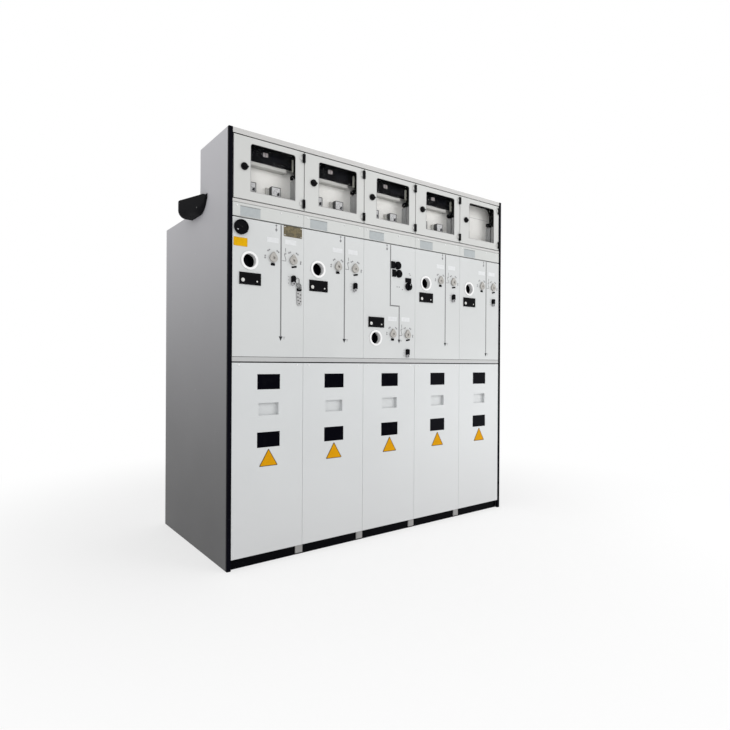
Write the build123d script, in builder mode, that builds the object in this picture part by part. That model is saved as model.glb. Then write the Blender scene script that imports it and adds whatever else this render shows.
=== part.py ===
from build123d import *
import os

os.makedirs("parts", exist_ok=True)

# A row of five metal-clad cubicles between two end panels, in millimetres
# X runs along the row, Y goes back from the front, Z is up, and the origin is on the floor
# under the middle of the row

# Row
bay_count = 5
bay_width = 375
end_panel_thickness = 20
row_depth = 920
box_depth = 360
sheet = 2
seat_gap = 0.3

# Heights of the strips of the front, from the floor up, and of the gaps between them
base_height = 48
cable_cover_gap = 2
cable_cover_height = 906
rail_low_gap = 6
middle_rail_height = 21
rail_high_gap = 2
switch_panel_height = 641
busbar_cover_gap = 6
busbar_cover_height = 62
sill_gap = 2
sill_height = 14
door_gap = 5
door_height = 291
fascia_height = 24
roof_rise = 39

# Folded front panels and what carries them
panel_depth = 25
panel_gap = 1.5
pocket_depth = 70
pocket_edge = 30
base_setback = 18
base_sheet = 3
rear_cover_depth = 18
roof_cover_thickness = 3
trim_depth = 12
trim_proud = 2
trim_chamfer = 1.5
foot_width = 40
foot_shift = 11
foot_setback = 12
foot_rise = 8
anchor_hole_radius = 7
anchor_inset = 40

# Cable covers, with heights measured down from their top edge
window_width = 120
window_height = 73
window_drops = (90, 366)
glass_thickness = 4
glass_lap = 8
grip_width = 105
grip_height = 59
grip_drop = 220
grip_depth = 18

# Instrument doors, hung at their right edges, with margins around the window
door_depth = 22
door_lip = 14
frame_gap = 6
post_width = 24
door_window_left = 82
door_window_right = 47
door_window_low = 40
door_window_high = 26
door_window_corner = 14
hinge_height = 42
hinge_inset = 32
knuckle_height = 12
knuckle_radius = 5
knuckle_gap = 0.5
hinge_face_gap = 0.5
hinge_pin_radius = 2.5
hinge_pin_clearance = 0.08
hinge_leaf_width = 18
hinge_leaf_thickness = 3
stem_clearance = 1
lock_left = 51
lock_rise = 150
lock_radius = 17
lock_proud = 6
lock_slot_width = 4
lock_slot_length = 18
lock_slot_depth = 2
lock_face_gap = 0.5
lock_hole_radius = 9.3
lock_spindle_width = 12
lock_arm_length = 50
lock_arm_width = 14
lock_arm_chamfer = 4
lock_arm_thickness = 3
lock_arm_back = 34
spindle_clearance = 0.3

# Instruments behind the doors, with heights measured from the doors' bottom edge
mounting_plate_back = 80
relay_left = 26
relay_width = 271
relay_height = 96
relay_rise = 184
relay_proud = 34
relay_chamfer = 3
meter_size = 54
meter_proud = 15
meter_rim = 5
meter_face_depth = 3
meter_rise = 72
meter_lefts = (96, 224)

# Devices on the switch panels, placed from the bay's left or right edge and down from the
# panel's top edge
sight_left = 85
sight_drop = 193
sight_flange_radius = 43
sight_flange_thickness = 4
sight_tube_radius = 35.5
sight_bore_radius = 32.5
sight_tube_length = 40
sight_glass_thickness = 3
indicator_left = 88
indicator_drop = 278
indicator_width = 108
indicator_height = 56
indicator_proud = 6
indicator_chamfer = 2
indicator_rim = 10
indicator_body_depth = 30
lens_offset_x = -35
lens_offset_z = -7
lens_radius = 10
lens_proud = 3
earth_pointer_left = 207
load_pointer_right = 59
pointer_drop = 167
pointer_radius = 20
pointer_tip_radius = 4
pointer_tip_rise = 26
pointer_thickness = 9
pointer_socket_radius = 7
pointer_socket_depth = 6
spindle_radius = 8
spindle_length = 60
pointer_face_gap = 1
key_lock_right = 60
key_lock_drop = 259
key_lock_width = 20
key_lock_height = 36
key_lock_proud = 14
key_lock_chamfer = 5

# The middle bay's devices sit lower, up from the panel's bottom edge
middle_sight_rise = 112
middle_indicator_rise = 199
middle_pointer_rise = 137
middle_key_lock_rise = 37

# Controls in the upper part of the middle bay
button_lefts = (240, 248)
button_drops = (113, 159)
button_bezel_radius = 22
button_bezel_height = 8
button_radius = 14
button_proud = 12
button_stem_length = 22
button_clearance = 0.3
legend_width = 24
legend_height = 40
legend_thickness = 5
legend_gap = 1
selector_right = 55
selector_drop = 226
selector_radius = 22
selector_height = 12
selector_grip_inset = 2
selector_grip_width = 10
selector_grip_height = 8
selector_legend_height = 26
selector_legend_width = 42

# Pressure gauge in the first bay, from its left edge and the panel's top edge
gauge_left = 41
gauge_drop = 44
gauge_radius = 34
gauge_proud = 16
gauge_chamfer = 3
gauge_rim = 6
gauge_face_depth = 4

# Moulded cap on the left end panel, where the instrument box meets the roof
cap_front = 262
cap_length = 270
cap_height = 103
cap_drop = 40
cap_nose = 10
cap_thickness = 78
cap_bulge_back = 213
cap_rear_thickness = 54
cap_high_radius = 12
cap_front_low_radius = 46
cap_rear_low_radius = 44
cap_bulge_radius = 30
cap_edge_chamfer = 4

# Heights worked out from the strips
cable_cover_bottom = base_height + cable_cover_gap
cable_cover_top = cable_cover_bottom + cable_cover_height
middle_rail_bottom = cable_cover_top + rail_low_gap
middle_rail_top = middle_rail_bottom + middle_rail_height
switch_panel_bottom = middle_rail_top + rail_high_gap
switch_panel_top = switch_panel_bottom + switch_panel_height
busbar_cover_bottom = switch_panel_top + busbar_cover_gap
busbar_cover_top = busbar_cover_bottom + busbar_cover_height
sill_bottom = busbar_cover_top + sill_gap
sill_top = sill_bottom + sill_height
door_bottom = sill_top + door_gap
door_top = door_bottom + door_height
fascia_bottom = door_top + door_gap
overall_height = fascia_bottom + fascia_height
body_height = sill_bottom + roof_rise

# Places worked out from the sizes above
inner_width = bay_count * bay_width
row_width = inner_width + 2 * end_panel_thickness
front_y = -row_depth / 2
rear_y = row_depth / 2
box_rear_y = front_y + box_depth
cubicle_front_y = front_y + panel_depth
inner_left = -inner_width / 2
bay_lefts = [inner_left + bay * bay_width for bay in range(bay_count)]
bay_centres = [left + bay_width / 2 for left in bay_lefts]
panel_width = bay_width - panel_gap

door_pitch = (inner_width - door_gap) / bay_count
door_width = door_pitch - door_gap
door_z = (door_bottom + door_top) / 2
door_lefts = [inner_left + door_gap + bay * door_pitch for bay in range(bay_count)]
door_centres = [left + door_width / 2 for left in door_lefts]
post_xs = [inner_left + door_gap / 2 + post * door_pitch for post in range(bay_count + 1)]
post_front_y = front_y + door_depth + frame_gap
hinge_xs = [left + door_width - knuckle_radius for left in door_lefts]
hinge_y = front_y - knuckle_radius - hinge_face_gap
hinge_zs = (door_bottom + hinge_inset, door_top - hinge_inset)
lock_xs = [left + lock_left for left in door_lefts]
lock_z = door_bottom + lock_rise
box_floor_top = sill_bottom + 2 * sheet
plate_y = front_y + mounting_plate_back
door_window_width = door_width - door_window_left - door_window_right
door_window_height = door_height - door_window_low - door_window_high
door_window_z = door_bottom + door_window_low + door_window_height / 2
door_window_xs = [left + door_window_left + door_window_width / 2 for left in door_lefts]


def facing(y):
    """The upright plane at depth y that looks forward, with X to the right and Z up."""
    return Plane(origin=(0, y, 0), x_dir=(1, 0, 0), z_dir=(0, -1, 0))


def bay_places(offset_x, drop, middle_rise):
    """One place in each bay, offset_x from its left edge and a drop below the panel's top edge.

    In the middle bay it is a rise above the panel's bottom edge instead.
    """
    places = [(left + offset_x, switch_panel_top - drop) for left in bay_lefts]
    middle_bay = bay_count // 2
    places[middle_bay] = (bay_lefts[middle_bay] + offset_x, switch_panel_bottom + middle_rise)
    return places


load_pointer_left = bay_width - load_pointer_right
key_lock_left = bay_width - key_lock_right
sight_places = bay_places(sight_left, sight_drop, middle_sight_rise)
indicator_places = bay_places(indicator_left, indicator_drop, middle_indicator_rise)
earth_pointer_places = bay_places(earth_pointer_left, pointer_drop, middle_pointer_rise)
load_pointer_places = bay_places(load_pointer_left, pointer_drop, middle_pointer_rise)
key_lock_places = bay_places(key_lock_left, key_lock_drop, middle_key_lock_rise)
middle_left = bay_lefts[bay_count // 2]
button_places = [
    (middle_left + x, switch_panel_top - drop) for x, drop in zip(button_lefts, button_drops)
]
selector_place = (middle_left + bay_width - selector_right, switch_panel_top - selector_drop)
gauge_place = (bay_lefts[0] + gauge_left, switch_panel_top - gauge_drop)

# Base trays: the black sheet-steel foot of each cubicle, with an anchor hole front and rear
base_front_y = front_y + base_setback
base_length = rear_y - sheet - base_front_y
base_y = base_front_y + base_length / 2
anchor_spacing = base_length - 2 * anchor_inset
with BuildPart() as base_trays:
    with BuildSketch(Plane.XY):
        with Locations(*[(x, base_y) for x in bay_centres]):
            Rectangle(bay_width - 2 * seat_gap, base_length)
    extrude(amount=base_height)
    with BuildSketch(Plane.XY.offset(base_sheet)):
        with Locations(*[(x, base_y) for x in bay_centres]):
            Rectangle(bay_width - 2 * seat_gap - 2 * base_sheet, base_length - 2 * base_sheet)
    extrude(amount=base_height, mode=Mode.SUBTRACT)
    with BuildSketch(Plane.XY):
        with Locations(*[(x, base_y) for x in bay_centres]):
            with GridLocations(0, anchor_spacing, 1, 2):
                Circle(anchor_hole_radius)
    extrude(amount=base_sheet, mode=Mode.SUBTRACT)
base_trays.part.label = "base_trays"
export_step(base_trays.part, "parts/base_trays.step")

# Foot blocks: the light corner feet that show in the base strip between the bays
foot_front_y = front_y + foot_setback
with BuildPart() as foot_blocks:
    with BuildSketch(Plane.XY.offset(foot_rise)):
        for left in bay_lefts[1:]:
            with Locations((left - foot_shift, (foot_front_y + base_front_y) / 2)):
                Rectangle(foot_width, base_setback - foot_setback)
    extrude(amount=base_height - foot_rise)
foot_blocks.part.label = "foot_blocks"
export_step(foot_blocks.part, "parts/foot_blocks.step")

# Cubicles: the closed switch housings, stepped down in front where the instrument box stands
cubicle_rear_y = rear_y - rear_cover_depth - seat_gap
cubicle_bottom = base_height + seat_gap
cubicle_top = body_height - roof_cover_thickness - seat_gap
step_top = sill_bottom - seat_gap
switch_panel_z = (switch_panel_top + switch_panel_bottom) / 2
cable_cover_z = (cable_cover_top + cable_cover_bottom) / 2
with BuildPart() as cubicles:
    for left in bay_lefts:
        with BuildSketch(Plane.YZ.offset(left + seat_gap)):
            with BuildLine():
                Polyline(
                    (cubicle_front_y, cubicle_bottom),
                    (cubicle_rear_y, cubicle_bottom),
                    (cubicle_rear_y, cubicle_top),
                    (box_rear_y + seat_gap, cubicle_top),
                    (box_rear_y + seat_gap, step_top),
                    (cubicle_front_y, step_top),
                    close=True,
                )
            make_face()
        extrude(amount=bay_width - 2 * seat_gap)
    with BuildSketch(facing(cubicle_front_y)):
        with Locations(*[(x, switch_panel_z) for x in bay_centres]):
            Rectangle(bay_width - 2 * pocket_edge, switch_panel_height - 2 * pocket_edge)
        with Locations(*[(x, cable_cover_z) for x in bay_centres]):
            Rectangle(bay_width - 2 * pocket_edge, cable_cover_height - 2 * pocket_edge)
    extrude(amount=-pocket_depth, mode=Mode.SUBTRACT)
cubicles.part.label = "cubicles"
export_step(cubicles.part, "parts/cubicles.step")

# End panels: folded L-shaped covers, open towards the row
end_panel_front_y = front_y + trim_depth
end_outline = [
    (end_panel_front_y, 0),
    (rear_y, 0),
    (rear_y, body_height),
    (box_rear_y, body_height),
    (box_rear_y, overall_height),
    (end_panel_front_y, overall_height),
]
for side, name in ((-1, "left_end_panel"), (1, "right_end_panel")):
    inner_face_x = side * inner_width / 2
    with BuildPart() as end_panel:
        with BuildSketch(Plane.YZ.offset(inner_face_x)) as outline:
            with BuildLine():
                Polyline(*end_outline, close=True)
            make_face()
        extrude(amount=side * end_panel_thickness)
        with BuildSketch(Plane.YZ.offset(inner_face_x)):
            add(outline.sketch_local)
            offset(amount=-sheet, kind=Kind.INTERSECTION, mode=Mode.REPLACE)
        extrude(amount=side * (end_panel_thickness - sheet), mode=Mode.SUBTRACT)
    end_panel.part.label = name
    export_step(end_panel.part, f"parts/{name}.step")

# Edge trims: the black strips down both front corners
trim_x = (inner_width + end_panel_thickness) / 2
with BuildPart() as edge_trims:
    with BuildSketch(Plane.XY) as trim_sketch:
        with Locations(*[(x, front_y + (trim_depth - trim_proud) / 2) for x in (-trim_x, trim_x)]):
            Rectangle(end_panel_thickness, trim_depth + trim_proud)
        chamfer(trim_sketch.vertices().group_by(Axis.Y)[0], trim_chamfer)
    extrude(amount=overall_height)
edge_trims.part.label = "edge_trims"
export_step(edge_trims.part, "parts/edge_trims.step")

# Roof covers: one plate a bay behind the instrument box, over the busbars
roof_length = rear_y - box_rear_y - seat_gap
with BuildPart() as roof_covers:
    with BuildSketch(Plane.XY.offset(body_height)):
        with Locations(*[(x, box_rear_y + seat_gap + roof_length / 2) for x in bay_centres]):
            Rectangle(panel_width, roof_length)
    extrude(amount=-roof_cover_thickness)
roof_covers.part.label = "roof_covers"
export_step(roof_covers.part, "parts/roof_covers.step")

# Rear covers: one folded pan a bay
rear_cover_bottom = base_height + panel_gap
rear_cover_top = body_height - roof_cover_thickness - panel_gap
rear_cover_height = rear_cover_top - rear_cover_bottom
rear_cover_z = (rear_cover_top + rear_cover_bottom) / 2
with BuildPart() as rear_covers:
    with BuildSketch(facing(rear_y)):
        with Locations(*[(x, rear_cover_z) for x in bay_centres]):
            Rectangle(panel_width, rear_cover_height)
    extrude(amount=rear_cover_depth)
    with BuildSketch(facing(rear_y - sheet)):
        with Locations(*[(x, rear_cover_z) for x in bay_centres]):
            Rectangle(panel_width - 2 * sheet, rear_cover_height - 2 * sheet)
    extrude(amount=rear_cover_depth, mode=Mode.SUBTRACT)
rear_covers.part.label = "rear_covers"
export_step(rear_covers.part, "parts/rear_covers.step")

# Middle rail: the fixed strip between the switch panels and the cable covers
with BuildPart() as middle_rail:
    with BuildSketch(facing(front_y)):
        with Locations((0, (middle_rail_top + middle_rail_bottom) / 2)):
            Rectangle(inner_width - 2 * seat_gap, middle_rail_height)
    extrude(amount=-panel_depth)
middle_rail.part.label = "middle_rail"
export_step(middle_rail.part, "parts/middle_rail.step")

# Switch panels: folded pans with the holes for sight windows, pointers, locks and controls
indicator_body_width = indicator_width - 2 * indicator_rim
indicator_body_height = indicator_height - 2 * indicator_rim
with BuildPart() as switch_panels:
    with BuildSketch(facing(front_y)):
        with Locations(*[(x, switch_panel_z) for x in bay_centres]):
            Rectangle(panel_width, switch_panel_height)
    extrude(amount=-panel_depth)
    with BuildSketch(facing(front_y + sheet)):
        with Locations(*[(x, switch_panel_z) for x in bay_centres]):
            Rectangle(panel_width - 2 * sheet, switch_panel_height - 2 * sheet)
    extrude(amount=-panel_depth, mode=Mode.SUBTRACT)
    with BuildSketch(facing(front_y)):
        with Locations(*sight_places):
            Circle(sight_tube_radius + seat_gap)
        with Locations(*earth_pointer_places, *load_pointer_places, selector_place):
            Circle(spindle_radius + spindle_clearance)
        with Locations(*indicator_places):
            Rectangle(indicator_body_width + 2 * seat_gap, indicator_body_height + 2 * seat_gap)
        with Locations(*button_places):
            Circle(button_radius + button_clearance)
    extrude(amount=-sheet, mode=Mode.SUBTRACT)
switch_panels.part.label = "switch_panels"
export_step(switch_panels.part, "parts/switch_panels.step")

# Cable covers: lift-off pans with two windows and a formed finger grip
window_places = [(x, cable_cover_top - drop) for drop in window_drops for x in bay_centres]
grip_z = cable_cover_top - grip_drop
with BuildPart() as cable_covers:
    with BuildSketch(facing(front_y)):
        with Locations(*[(x, cable_cover_z) for x in bay_centres]):
            Rectangle(panel_width, cable_cover_height)
    extrude(amount=-panel_depth)
    with BuildSketch(facing(front_y + sheet)):
        with Locations(*[(x, cable_cover_z) for x in bay_centres]):
            Rectangle(panel_width - 2 * sheet, cable_cover_height - 2 * sheet)
    extrude(amount=-panel_depth, mode=Mode.SUBTRACT)
    with BuildSketch(facing(front_y)):
        with Locations(*window_places):
            Rectangle(window_width, window_height)
    extrude(amount=-sheet, mode=Mode.SUBTRACT)
    with BuildSketch(facing(front_y)):
        with Locations(*[(x, grip_z) for x in bay_centres]):
            Rectangle(grip_width + 2 * sheet, grip_height + 2 * sheet)
    extrude(amount=-(grip_depth + sheet))
    with BuildSketch(facing(front_y)):
        with Locations(*[(x, grip_z) for x in bay_centres]):
            Rectangle(grip_width, grip_height)
    extrude(amount=-grip_depth, mode=Mode.SUBTRACT)
cable_covers.part.label = "cable_covers"
export_step(cable_covers.part, "parts/cable_covers.step")

# Cable windows: dark panes seated behind the cable covers
with BuildPart() as cable_windows:
    with BuildSketch(facing(front_y + sheet)):
        with Locations(*window_places):
            Rectangle(window_width + 2 * glass_lap, window_height + 2 * glass_lap)
    extrude(amount=-glass_thickness)
cable_windows.part.label = "cable_windows"
export_step(cable_windows.part, "parts/cable_windows.step")

# Busbar covers: the narrow strip of pans under the instrument box
busbar_cover_z = (busbar_cover_top + busbar_cover_bottom) / 2
with BuildPart() as busbar_covers:
    with BuildSketch(facing(front_y)):
        with Locations(*[(x, busbar_cover_z) for x in bay_centres]):
            Rectangle(panel_width, busbar_cover_height)
    extrude(amount=-panel_depth)
    with BuildSketch(facing(front_y + sheet)):
        with Locations(*[(x, busbar_cover_z) for x in bay_centres]):
            Rectangle(panel_width - 2 * sheet, busbar_cover_height - 2 * sheet)
    extrude(amount=-panel_depth, mode=Mode.SUBTRACT)
busbar_covers.part.label = "busbar_covers"
export_step(busbar_covers.part, "parts/busbar_covers.step")

# Instrument box shell: floor, back and roof folded from one sheet, with the sill and the fascia
with BuildPart() as box_shell:
    with BuildSketch(Plane.YZ.offset(-inner_width / 2 + seat_gap)):
        with Locations((front_y, sill_bottom)):
            Rectangle(sheet, sill_height, align=(Align.MIN, Align.MIN))
        with Locations((front_y, box_floor_top - sheet)):
            Rectangle(box_depth, sheet, align=(Align.MIN, Align.MIN))
        with Locations((box_rear_y - sheet, box_floor_top - sheet)):
            Rectangle(sheet, overall_height - box_floor_top + sheet, align=(Align.MIN, Align.MIN))
        with Locations((front_y, overall_height - sheet)):
            Rectangle(box_depth, sheet, align=(Align.MIN, Align.MIN))
        with Locations((front_y, fascia_bottom)):
            Rectangle(sheet, fascia_height, align=(Align.MIN, Align.MIN))
    extrude(amount=inner_width - 2 * seat_gap)
box_shell.part.label = "box_shell"
export_step(box_shell.part, "parts/box_shell.step")

# Box dividers: upright walls between the instrument cells, each with its door post folded on
divider_bottom = box_floor_top + seat_gap
divider_height = overall_height - sheet - seat_gap - divider_bottom
divider_length = box_rear_y - sheet - seat_gap - post_front_y
post_limit = inner_width / 2 - seat_gap
with BuildPart() as box_dividers:
    with BuildSketch(Plane.XY.offset(divider_bottom)):
        with Locations(*[(x, post_front_y + divider_length / 2) for x in post_xs]):
            Rectangle(sheet, divider_length)
        for x in post_xs:
            post_left = max(x - post_width / 2, -post_limit)
            post_right = min(x + post_width / 2, post_limit)
            with Locations(((post_left + post_right) / 2, post_front_y + sheet / 2)):
                Rectangle(post_right - post_left, sheet)
    extrude(amount=divider_height)
box_dividers.part.label = "box_dividers"
export_step(box_dividers.part, "parts/box_dividers.step")

# Mounting plates: the inner plate of each cell that carries its instruments
with BuildPart() as mounting_plates:
    with BuildSketch(facing(plate_y)):
        with Locations(*[(x, divider_bottom + divider_height / 2) for x in door_centres]):
            Rectangle(door_pitch - sheet - 2 * seat_gap, divider_height)
    extrude(amount=-sheet)
mounting_plates.part.label = "mounting_plates"
export_step(mounting_plates.part, "parts/mounting_plates.step")

# Protection relays: black housings across the top of the first four plates
relay_z = door_bottom + relay_rise + relay_height / 2
with BuildPart() as protection_relays:
    with BuildSketch(facing(plate_y)):
        with Locations(*[(left + relay_left + relay_width / 2, relay_z) for left in door_lefts[:-1]]):
            Rectangle(relay_width, relay_height)
    extrude(amount=relay_proud)
    chamfer(protection_relays.faces().group_by(Axis.Y)[0].edges(), relay_chamfer)
protection_relays.part.label = "protection_relays"
export_step(protection_relays.part, "parts/protection_relays.step")

# Panel meters: square instruments with a raised rim, two on each plate and one in the last bay
meter_z = door_bottom + meter_rise
meter_places = [(left + x, meter_z) for left in door_lefts for x in meter_lefts][:-1]
with BuildPart() as panel_meters:
    with BuildSketch(facing(plate_y)):
        with Locations(*meter_places):
            Rectangle(meter_size, meter_size)
    extrude(amount=meter_proud)
    with BuildSketch(facing(plate_y - meter_proud)):
        with Locations(*meter_places):
            Rectangle(meter_size - 2 * meter_rim, meter_size - 2 * meter_rim)
    extrude(amount=-meter_face_depth, mode=Mode.SUBTRACT)
panel_meters.part.label = "panel_meters"
export_step(panel_meters.part, "parts/panel_meters.step")

# Sight rings: flanged sleeves that look at the switch contacts
with BuildPart() as sight_rings:
    with BuildSketch(facing(front_y)):
        with Locations(*sight_places):
            Circle(sight_flange_radius)
            Circle(sight_bore_radius, mode=Mode.SUBTRACT)
    extrude(amount=sight_flange_thickness)
    with BuildSketch(facing(front_y)):
        with Locations(*sight_places):
            Circle(sight_tube_radius)
            Circle(sight_bore_radius, mode=Mode.SUBTRACT)
    extrude(amount=-sight_tube_length)
sight_rings.part.label = "sight_rings"
export_step(sight_rings.part, "parts/sight_rings.step")

# Sight glasses: the dark square panes that close the back of the sleeves
with BuildPart() as sight_glasses:
    with BuildSketch(facing(front_y + sight_tube_length)):
        with Locations(*sight_places):
            Rectangle(2 * sight_tube_radius, 2 * sight_tube_radius)
    extrude(amount=-sight_glass_thickness)
sight_glasses.part.label = "sight_glasses"
export_step(sight_glasses.part, "parts/sight_glasses.step")

# Live-line indicators: black modules let into the switch panels, with a bevelled rim
with BuildPart() as live_indicators:
    with BuildSketch(facing(front_y)):
        with Locations(*indicator_places):
            Rectangle(indicator_width, indicator_height)
    extrude(amount=indicator_proud)
    chamfer(live_indicators.faces().group_by(Axis.Y)[0].edges(), indicator_chamfer)
    with BuildSketch(facing(front_y)):
        with Locations(*indicator_places):
            Rectangle(indicator_body_width, indicator_body_height)
    extrude(amount=-indicator_body_depth)
live_indicators.part.label = "live_indicators"
export_step(live_indicators.part, "parts/live_indicators.step")

# Indicator lenses: the round white lens on each module
with BuildPart() as indicator_lenses:
    with BuildSketch(facing(front_y - indicator_proud)):
        with Locations(*[(x + lens_offset_x, z + lens_offset_z) for x, z in indicator_places]):
            Circle(lens_radius)
    extrude(amount=lens_proud)
indicator_lenses.part.label = "indicator_lenses"
export_step(indicator_lenses.part, "parts/indicator_lenses.step")

# Key locks: the interlock blocks below the right-hand pointers
with BuildPart() as key_locks:
    with BuildSketch(facing(front_y)) as key_lock_sketch:
        with Locations(*key_lock_places):
            Rectangle(key_lock_width, key_lock_height)
        chamfer(key_lock_sketch.vertices(), key_lock_chamfer)
    extrude(amount=key_lock_proud)
key_locks.part.label = "key_locks"
export_step(key_locks.part, "parts/key_locks.step")

# Pressure gauge: the round black instrument in the first bay
with BuildPart() as pressure_gauge:
    with BuildSketch(facing(front_y)):
        with Locations(gauge_place):
            Circle(gauge_radius)
    extrude(amount=gauge_proud)
    chamfer(pressure_gauge.faces().sort_by(Axis.Y)[0].edges(), gauge_chamfer)
    with BuildSketch(facing(front_y - gauge_proud)):
        with Locations(gauge_place):
            Circle(gauge_radius - gauge_rim)
    extrude(amount=-gauge_face_depth, mode=Mode.SUBTRACT)
pressure_gauge.part.label = "pressure_gauge"
export_step(pressure_gauge.part, "parts/pressure_gauge.step")

# Control bezels: the two button bezels and the legend plates of the middle bay
selector_legend_z = selector_place[1] + selector_radius + legend_gap + selector_legend_height / 2
with BuildPart() as control_bezels:
    with BuildSketch(facing(front_y)):
        with Locations(*button_places):
            Circle(button_bezel_radius)
            Circle(button_radius + button_clearance, mode=Mode.SUBTRACT)
    extrude(amount=button_bezel_height)
    with BuildSketch(facing(front_y)):
        for x, z in button_places:
            with Locations((x - button_bezel_radius - legend_gap - legend_width / 2, z)):
                Rectangle(legend_width, legend_height)
        with Locations((selector_place[0], selector_legend_z)):
            Rectangle(selector_legend_width, selector_legend_height)
    extrude(amount=legend_thickness)
control_bezels.part.label = "control_bezels"
export_step(control_bezels.part, "parts/control_bezels.step")

# Push buttons: round plungers that slide in their bezels
for place, name in zip(button_places, ("open_button", "close_button")):
    with BuildPart() as button:
        with BuildSketch(facing(front_y - button_proud)):
            with Locations(place):
                Circle(button_radius)
        extrude(amount=-(button_proud + button_stem_length))
    button.part.label = name
    export_step(button.part, f"parts/{name}.step")

# Selector knob: a round knob with a raised grip, on a hexagonal spindle through the panel
grip_length = 2 * (selector_radius - selector_grip_inset)
with BuildPart() as selector_knob:
    with BuildSketch(facing(front_y - pointer_face_gap)):
        with Locations(selector_place):
            Circle(selector_radius)
    extrude(amount=selector_height)
    with BuildSketch(facing(front_y - pointer_face_gap - selector_height)):
        with Locations(selector_place):
            Rectangle(selector_grip_width, grip_length)
    extrude(amount=selector_grip_height)
    with BuildSketch(facing(front_y - pointer_face_gap)):
        with Locations(selector_place):
            RegularPolygon(spindle_radius, 6)
    extrude(amount=-spindle_length)
selector_knob.part.label = "selector_knob"
export_step(selector_knob.part, "parts/selector_knob.step")

# Switch pointers: teardrop hubs with a crank socket, on hexagonal spindles, two in each bay
pointers = (("earth_pointer", earth_pointer_places), ("load_pointer", load_pointer_places))
for base_name, places in pointers:
    for bay, (x, z) in enumerate(places):
        with BuildPart() as pointer:
            with BuildSketch(facing(front_y - pointer_face_gap)):
                with Locations((x, z)):
                    Circle(pointer_radius)
                with Locations((x, z + pointer_tip_rise)):
                    Circle(pointer_tip_radius)
                make_hull()
            extrude(amount=pointer_thickness)
            with BuildSketch(facing(front_y - pointer_face_gap)):
                with Locations((x, z)):
                    RegularPolygon(spindle_radius, 6)
            extrude(amount=-spindle_length)
            with BuildSketch(facing(front_y - pointer_face_gap - pointer_thickness)):
                with Locations((x, z)):
                    RegularPolygon(pointer_socket_radius, 6)
            extrude(amount=-pointer_socket_depth, mode=Mode.SUBTRACT)
        name = f"{base_name}_{bay + 1}"
        pointer.part.label = name
        export_step(pointer.part, f"parts/{name}.step")

# Hinge brackets: the fixed halves of the door hinges, with their pins, on the door posts
# Each block is square, with its inner rear corner rounded so that the door can swing past it
outer_knuckle_shift = (hinge_height - knuckle_height) / 2
stem_thickness = door_gap - 2 * stem_clearance
with BuildPart() as hinge_brackets:
    for x in hinge_xs:
        bridge_right = x + knuckle_radius + stem_clearance + stem_thickness
        for z in hinge_zs:
            with BuildSketch(Plane.XY.offset(z - hinge_height / 2)):
                with Locations((x, hinge_y)):
                    Circle(hinge_pin_radius)
                stem_x = bridge_right - stem_thickness / 2
                with Locations((stem_x, (hinge_y - knuckle_radius + post_front_y) / 2)):
                    Rectangle(stem_thickness, post_front_y - hinge_y + knuckle_radius)
            extrude(amount=hinge_height)
            for shift in (-outer_knuckle_shift, outer_knuckle_shift):
                with BuildSketch(Plane.XY.offset(z + shift - knuckle_height / 2)) as block:
                    with Locations((x, hinge_y)):
                        Rectangle(2 * knuckle_radius, 2 * knuckle_radius)
                    inner_corners = block.vertices().group_by(Axis.X)[0]
                    fillet(inner_corners.sort_by(Axis.Y)[-1], knuckle_radius)
                    with Locations(((x + bridge_right) / 2, hinge_y - knuckle_radius / 2)):
                        Rectangle(bridge_right - x, knuckle_radius)
                extrude(amount=knuckle_height)
hinge_brackets.part.label = "hinge_brackets"
export_step(hinge_brackets.part, "parts/hinge_brackets.step")

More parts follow.
